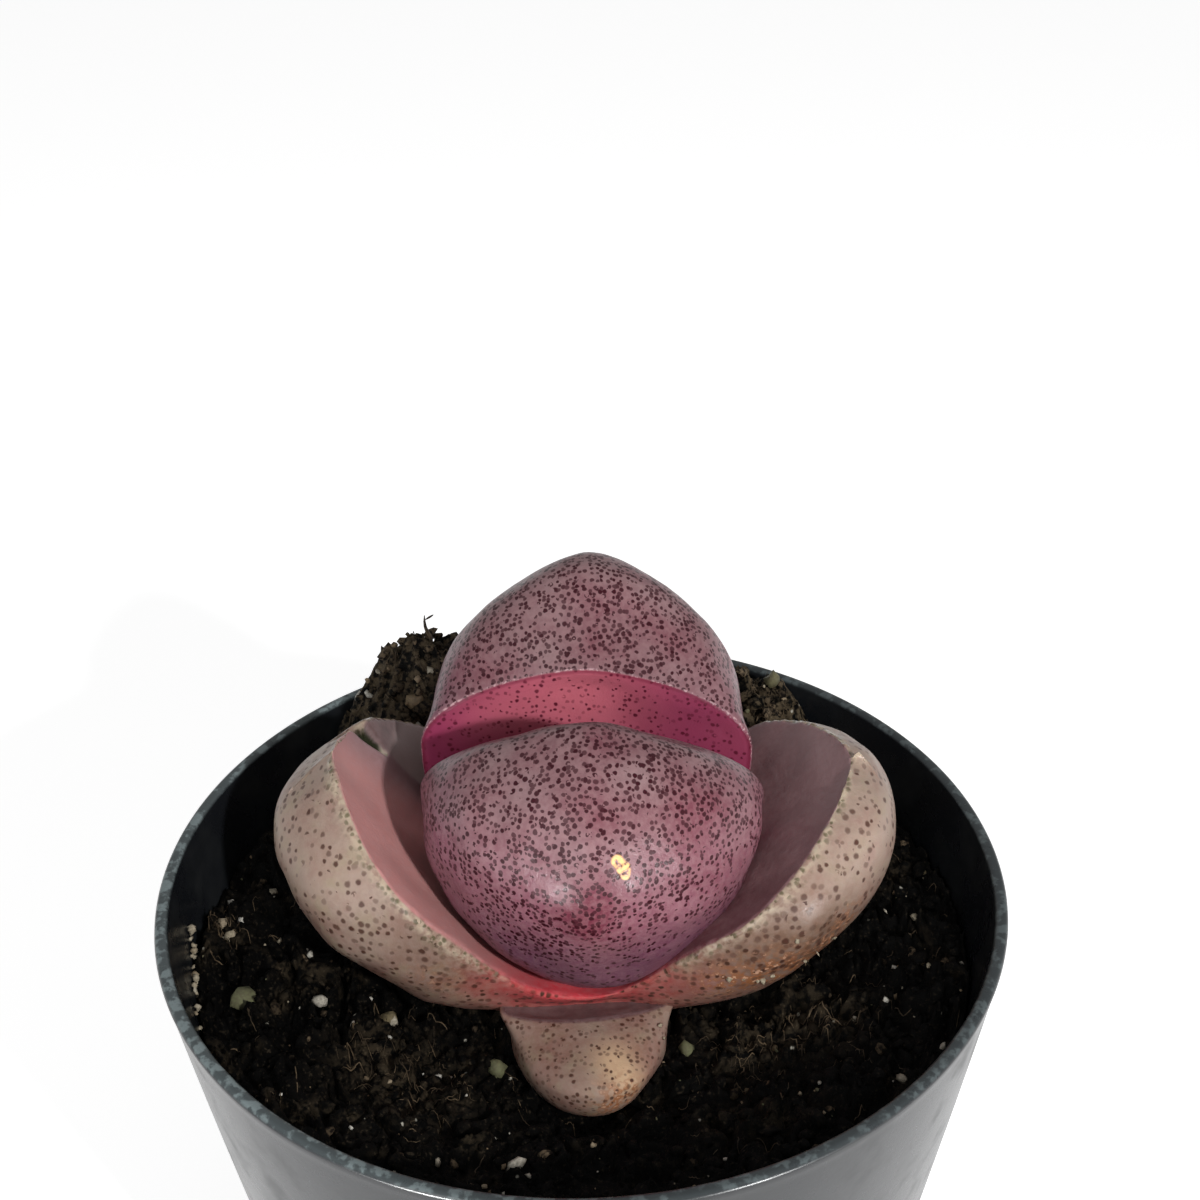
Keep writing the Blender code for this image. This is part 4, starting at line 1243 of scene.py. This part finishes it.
def make_upper_skin(dots, skin):
    """Youngest leaves: mauve waxy skin with maroon dots, a vivid inner face with a painted glow, a thin pale
    edge with painted glints, and a painted warm highlight.
    """
    material, tree, shader = start_material("upper_skin")
    edge = mark(tree, "edge")
    fine = use_group(tree, skin, {"Size": 0.45})
    patches = noise(tree, place(tree), 3.0)
    outer = blend(tree, mark(tree, "grey"), MAUVE, GREY_MAUVE)
    outer = blend(tree, remap(tree, patches, 0.35, 0.7, 0.0, 0.35), outer, WINE)
    # Violet low down and on the left: partly the skin's hue, partly painted shade
    outer = blend(tree, mark(tree, "violet"), outer, SHADED_VIOLET)
    outer = blend(tree, mark(tree, "wine"), outer, WINE)
    outer = blend(tree, times(tree, fine["Mottle"], 0.2), outer, WAXY_PINK)
    spotted = use_group(tree, dots, dict(UPPER_DOTS, Density=mark(tree, "dotted")))
    strength = remap(tree, spotted["Tone"], 0.0, 1.0, 0.75, 1.0)
    outer = blend(tree, times(tree, spotted["Mask"], strength), outer, DOT_MAROON)
    # Painted warm highlight, broken up by a fine noise
    crinkle = remap(tree, noise(tree, place(tree), 0.35, 3.0), 0.3, 0.6)
    painted_glint = times(tree, remap(tree, mark(tree, "warm_glint"), 0.35, 0.75), crinkle)
    outer = blend(tree, painted_glint, outer, GLINT_GOLD)
    # Salmon centre of the inner face: its own colour, brightened by a painted glow of light
    inner = blend(tree, mark(tree, "glow"), MAGENTA, SALMON)
    few = use_group(tree, dots, INNER_DOTS)
    fewer = times(tree, few["Mask"], remap(tree, few["Tone"], 0.0, 1.0, 0.35, 0.95))
    inner = blend(tree, fewer, inner, DOT_WINE)
    colour = blend(tree, remap(tree, edge, -0.1, 0.06), inner, outer)
    under = times(tree, remap(tree, edge, -0.45, -0.15), remap(tree, edge, 0.0, -0.06))
    colour = blend(tree, times(tree, under, 0.6), colour, UNDER_RIM)
    # Thin broken pale edge: partly its own colour, partly painted glints
    line = times(tree, remap(tree, edge, -0.1, 0.0), remap(tree, edge, 0.16, 0.06))
    broken = remap(tree, noise(tree, place(tree), 0.35), 0.5, 0.62, 0.1, 0.9)
    colour = blend(tree, times(tree, line, broken), colour, PALE_EDGE_AND_GLINTS)
    feed(tree, shader, colour, remap(tree, fine["Mottle"], 0.0, 1.0, 0.29, 0.4), fine["Height"], 0.035)
    finish_skin(shader, 0.22, 0.05)
    return material


def make_lower_skin(name, dots, skin, cell):
    """Middle and old leaves: grey-pink skin with brown dots, a mottled edge, corky scars and a split, with
    light, shade and glow painted on the inner faces and the band.
    """
    material, tree, shader = start_material(name)
    edge = mark(tree, "edge")
    fine = use_group(tree, skin, {"Size": 0.6})
    # Dusky pink: partly the skin's colour, partly painted shade low on the middle pair
    outer = blend(tree, mark(tree, "warm"), BEIGE, DUSKY_PINK)
    patches = noise(tree, place(tree), 2.2, 3.0)
    outer = blend(tree, remap(tree, patches, 0.5, 0.72, 0.0, 0.5), outer, DULL_PINK)
    outer = blend(tree, remap(tree, patches, 0.5, 0.28, 0.0, 0.5), outer, DULL_OLIVE)
    outer = blend(tree, mark(tree, "brown"), outer, OLD_BROWN)
    # Painted glow of light through the skin at the band, over its own red
    outer = blend(tree, mark(tree, "glow"), outer, GLOW_RED)
    outer = blend(tree, times(tree, fine["Mottle"], 0.2), outer, WAXY_BEIGE)
    outer = blend(tree, mark(tree, "tan"), outer, TAN)
    cork = mark(tree, "cork")
    flakes = noise(tree, place(tree), 0.45, 4.0)
    outer = blend(tree, times(tree, cork, remap(tree, flakes, 0.42, 0.56)), outer, CORK)
    wide = calculate(tree, "ADD", LOWER_DOT_RADIUS, times(tree, mark(tree, "brown"), 0.1))
    given = {"Cell": cell, "Radius": wide, "Density": mark(tree, "dotted"), "Softness": 0.4}
    spotted = use_group(tree, dots, given)
    strength = remap(tree, spotted["Tone"], 0.0, 1.0, 0.45, 1.0)
    outer = blend(tree, times(tree, spotted["Mask"], strength), outer, DOT_BROWN)
    outer = blend(tree, times(tree, cork, remap(tree, flakes, 0.6, 0.66)), outer, CORK_CRUMB)
    # Painted shade: the inner face darkens to maroon low down
    inner = blend(tree, mark(tree, "deep"), SHADED_FACE_GREY, DEEP_SHADE_MAROON)
    # Painted light and shade on the inner face: lit pink, and shaded grey where the shade mark is high
    inner = blend(tree, mark(tree, "shade"), LIT_FACE_PINK, inner)
    # Painted light on the lobe where it lies in shade, and painted shade over its lit part and the old
    # leaves' strip
    inner = blend(tree, mark(tree, "lobe"), inner, LOBE_LIGHTENED_GREY)
    inner = blend(tree, mark(tree, "painted_shade"), inner, PAINTED_SHADE_FACE)
    # Painted glow of light through the skin at the band, over its own red
    inner = blend(tree, mark(tree, "glow"), inner, GLOW_RED)
    inner = blend(tree, times(tree, fine["Mottle"], 0.15), inner, WAXY_FACE)
    colour = blend(tree, remap(tree, edge, -0.3, 0.05), inner, outer)
    line = times(tree, remap(tree, edge, -0.25, 0.0), remap(tree, edge, 1.4, 0.2))
    line = times(tree, line, mark(tree, "rim"))
    broken = remap(tree, noise(tree, place(tree), 0.6), 0.35, 0.65, 0.1, 0.9)
    colour = blend(tree, times(tree, line, broken), colour, LEAF_EDGE)
    green = times(tree, use_group(tree, dots, GREEN_DOTS)["Mask"], 0.8)
    colour = blend(tree, times(tree, line, green), colour, EDGE_GREEN)
    torn = blend(tree, mark(tree, "scar"), SPLIT_GREEN, SPLIT_SCAR)
    colour = blend(tree, mark(tree, "split"), colour, torn)
    rough = remap(tree, fine["Mottle"], 0.0, 1.0, 0.34, 0.46)
    sheen = times(tree, remap(tree, edge, -0.6, -0.1), remap(tree, edge, 0.8, 0.2))
    rough = calculate(tree, "SUBTRACT", rough, times(tree, sheen, 0.2))
    feed(tree, shader, colour, rough, fine["Height"], 0.04)
    finish_skin(shader, 0.32, 0.08)
    return material


def make_peat(skin):
    """Moist dark peat: near black, partly painted shade, with brown patches and small pale specks."""
    material, tree, shader = start_material("peat")
    vector = place(tree)
    patches = remap(tree, noise(tree, vector, 5.0, 3.0), 0.5, 0.7, 0.0, 0.3)
    brown = calculate(tree, "MAXIMUM", patches, mark(tree, "brown"))
    grain = remap(tree, noise(tree, vector, 0.7, 4.0), 0.42, 0.58)
    brown = times(tree, brown, grain)
    colour = blend(tree, brown, PEAT_BLACK_AND_SHADE, PEAT_BROWN)
    bits = times(tree, remap(tree, noise(tree, vector, 0.3, 3.0), 0.56, 0.72),
                 remap(tree, brown, 0.0, 1.0, 0.2, 1.0))
    colour = blend(tree, bits, colour, PEAT_BIT)
    specks = add_node(tree, "ShaderNodeTexVoronoi", {"Vector": vector, "Scale": 1100.0})
    chance = add_node(tree, "ShaderNodeSeparateColor", {"Color": specks.outputs["Color"]}).outputs["Red"]
    speck = times(tree, remap(tree, specks.outputs["Distance"], 0.2, 0.1),
                  calculate(tree, "LESS_THAN", chance, 0.05))
    colour = blend(tree, speck, colour, PEAT_SPECK)
    fine = use_group(tree, skin, {"Size": 0.25})
    feed(tree, shader, colour, 0.85, fine["Height"], 0.15)
    shader.inputs["Specular IOR Level"].default_value = 0.2
    return material


def make_clod(skin):
    """Brown fibrous clods."""
    material, tree, shader = start_material("fibrous_clod")
    colour = blend(tree, mark(tree, "tone"), CLOD_DARK, CLOD_PALE)
    streak = noise(tree, place(tree), 0.31, 4.0)
    colour = blend(tree, remap(tree, streak, 0.42, 0.62), colour, CLOD_STREAK)
    feed(tree, shader, colour, 0.9, use_group(tree, skin, {"Size": 0.2})["Height"], 0.15)
    shader.inputs["Specular IOR Level"].default_value = 0.2
    return material


def make_grain(skin):
    """Pale grains: white and cream over tan and pinkish to a dull green, by each grain's tone."""
    material, tree, shader = start_material("pale_grain")
    tone = mark(tree, "tone")
    colour = blend(tree, remap(tree, tone, 0.0, 0.45), GRAIN_WHITE, GRAIN_CREAM)
    colour = blend(tree, remap(tree, tone, 0.45, 0.7), colour, GRAIN_TAN)
    colour = blend(tree, remap(tree, tone, 0.75, 0.95), colour, GRAIN_GREEN)
    fine = use_group(tree, skin, {"Size": 0.2})
    colour = blend(tree, times(tree, fine["Mottle"], 0.6), colour, GRAIN_DIRT)
    feed(tree, shader, colour, 0.6, fine["Height"], 0.06)
    return material


def make_fibre():
    """Dry root fibres, in shades of brown."""
    material, tree, shader = start_material("root_fibre")
    shade = noise(tree, place(tree), 1.5, 3.0)
    colour = blend(tree, remap(tree, shade, 0.35, 0.65), FIBRE_DARK, FIBRE_PALE)
    feed(tree, shader, colour, 0.7)
    return material


def make_black_plastic(skin):
    """Black pot plastic: glossy, dusty and finely scuffed, with a paler rim from wear, painted lighter on its
    left where the light falls.
    """
    material, tree, shader = start_material("black_plastic")
    vector = place(tree)
    axes = add_node(tree, "ShaderNodeSeparateXYZ", {"Vector": vector}).outputs
    dust = remap(tree, noise(tree, vector, 4.0, 6.0), 0.4, 0.8)
    colour = blend(tree, times(tree, dust, 0.2), POT_BLACK, POT_DUST)
    top = remap(tree, axes["Z"], (POT_HEIGHT - 0.35) * MM, (POT_HEIGHT - 0.05) * MM)
    wear_and_light = remap(tree, noise(tree, vector, 0.9, 4.0), 0.45, 0.62)
    # Painted light: the rim's pale wear is stronger on its left, where the light falls
    left = remap(tree, axes["X"], 10.0 * MM, -30.0 * MM)
    painted_light_side = remap(tree, left, 0.0, 1.0, 0.42, 1.0)
    wear_and_light = times(tree, remap(tree, wear_and_light, 0.0, 1.0, 0.3, 0.9), painted_light_side)
    colour = blend(tree, times(tree, top, wear_and_light), colour, POT_WEAR_AND_LIGHT)
    fine = use_group(tree, skin, {"Size": 0.5})
    rough = remap(tree, dust, 0.0, 1.0, 0.27, 0.4)
    feed(tree, shader, colour, rough, fine["Height"], 0.006)
    shader.inputs["Specular IOR Level"].default_value = 0.38
    return material


def make_corky_stem(skin):
    """Dry corky stem: brown with darker furrows."""
    material, tree, shader = start_material("corky_stem")
    furrow = noise(tree, place(tree), 0.8, 4.0)
    colour = blend(tree, remap(tree, furrow, 0.35, 0.65), STEM_DARK, STEM_PALE)
    feed(tree, shader, colour, 0.8, use_group(tree, skin, {"Size": 0.5})["Height"], 0.15)
    return material


def build_camera():
    """Camera at the photograph's place, looking down at the pot."""
    right, up = Vector(CAMERA_RIGHT), Vector(CAMERA_UP)
    camera = bpy.data.objects.new("camera", bpy.data.cameras.new("camera"))
    camera.data.lens = LENS
    camera.data.sensor_width = SENSOR
    camera.data.sensor_fit = "HORIZONTAL"
    camera.data.clip_start = 0.005
    matrix = Matrix((right, up, right.cross(up))).transposed().to_4x4()
    matrix.translation = Vector(CAMERA_PLACE)
    camera.matrix_world = matrix
    bpy.context.scene.collection.objects.link(camera)
    bpy.context.scene.camera = camera


def build_stage():
    """Pale glowing floor, and a bright surround."""
    white, _, shader = start_material("pale_floor")
    shader.inputs["Base Color"].default_value = (*FLOOR_WHITE, 1.0)
    shader.inputs["Roughness"].default_value = 0.9
    shader.inputs["Emission Color"].default_value = (1.0, 1.0, 1.0, 1.0)
    shader.inputs["Emission Strength"].default_value = FLOOR_GLOW
    floor_mesh = bpy.data.meshes.new("floor")
    low, high = -FLOOR_REACH, FLOOR_REACH
    corners = [(low, low, 0.0), (high, low, 0.0), (high, high, 0.0), (low, high, 0.0)]
    floor_mesh.from_pydata(corners, [], [(0, 1, 2, 3)])
    floor_mesh.materials.append(white)
    floor = bpy.data.objects.new("floor", floor_mesh)
    bpy.context.scene.collection.objects.link(floor)
    world = bpy.data.worlds.new("surround")
    world.use_nodes = True
    world.node_tree.nodes["Background"].inputs["Color"].default_value = (1.0, 1.0, 1.0, 1.0)
    world.node_tree.nodes["Background"].inputs["Strength"].default_value = SURROUND
    bpy.context.scene.world = world


def build_lamps():
    """Round lamps, each turned to the point that it lights."""
    for name, lit_point, distance, azimuth, elevation, size, power in LIGHTS:
        lamp = bpy.data.lights.new(name, "AREA")
        lamp.shape = "DISK"
        lamp.size = size
        lamp.energy = power
        thing = bpy.data.objects.new(name, lamp)
        thing.visible_camera = False
        thing.visible_diffuse = "glint" not in name
        thing.visible_glossy = name not in ("key", "low_fill")
        round_z, up = np.radians((azimuth, elevation))
        away = Vector((np.cos(up) * np.cos(round_z), np.cos(up) * np.sin(round_z), np.sin(up)))
        thing.location = Vector(lit_point) * MM + distance * away
        thing.rotation_euler = (-away).to_track_quat("-Z", "Y").to_euler()
        bpy.context.scene.collection.objects.link(thing)


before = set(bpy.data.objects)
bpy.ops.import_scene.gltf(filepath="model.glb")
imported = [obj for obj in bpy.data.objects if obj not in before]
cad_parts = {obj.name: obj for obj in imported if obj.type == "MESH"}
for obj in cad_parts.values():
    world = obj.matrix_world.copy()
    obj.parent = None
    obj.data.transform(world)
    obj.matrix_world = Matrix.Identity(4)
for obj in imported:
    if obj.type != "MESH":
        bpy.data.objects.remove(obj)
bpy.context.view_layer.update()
build_camera()
build_stage()
build_lamps()
bpy.context.scene.view_settings.view_transform = "Standard"

dots_group = make_dots_group()
skin_group = make_skin_group()
upper_skin = make_upper_skin(dots_group, skin_group)
middle_skin = make_lower_skin("middle_skin", dots_group, skin_group, PAIR_DOT_CELL)
old_skin = make_lower_skin("old_skin", dots_group, skin_group, OLD_DOT_CELL)
peat = make_peat(skin_group)
clod = make_clod(skin_group)
grain = make_grain(skin_group)
fibre = make_fibre()
build_single_leaf("upper_leaf_front", upper_skin, "upper_leaves", BIG_LEAF, FRONT_LEAF_ROUNDING, upper_marks)
build_single_leaf("upper_leaf_back", upper_skin, "upper_leaves", BIG_LEAF, BACK_LEAF_ROUNDING, upper_marks)
build_single_leaf("old_leaf_front", old_skin, "old_leaves", SMALL_LEAF, OLD_LEAF_ROUNDING, old_marks)
build_single_leaf("old_leaf_back", old_skin, "old_leaves", SMALL_LEAF, OLD_LEAF_ROUNDING, old_marks)
build_middle_pair(middle_skin)
build_soil(peat)
for kind, look in (("peat_crumbs", peat), ("brown_clods", clod), ("heap_clods", clod),
                   ("pale_grains", grain), ("heap_grains", grain)):
    build_crumbs(kind, **CRUMB_KINDS[kind], material=look)
build_marked_grains(grain)
build_skin_flakes(grain)
build_wall_debris(grain)
build_twig(fibre)
build_fibres("root_fibres", **FIBRES, material=fibre)
build_pot(make_black_plastic(skin_group))
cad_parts["crown_root"].data.materials.clear()
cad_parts["crown_root"].data.materials.append(make_corky_stem(skin_group))
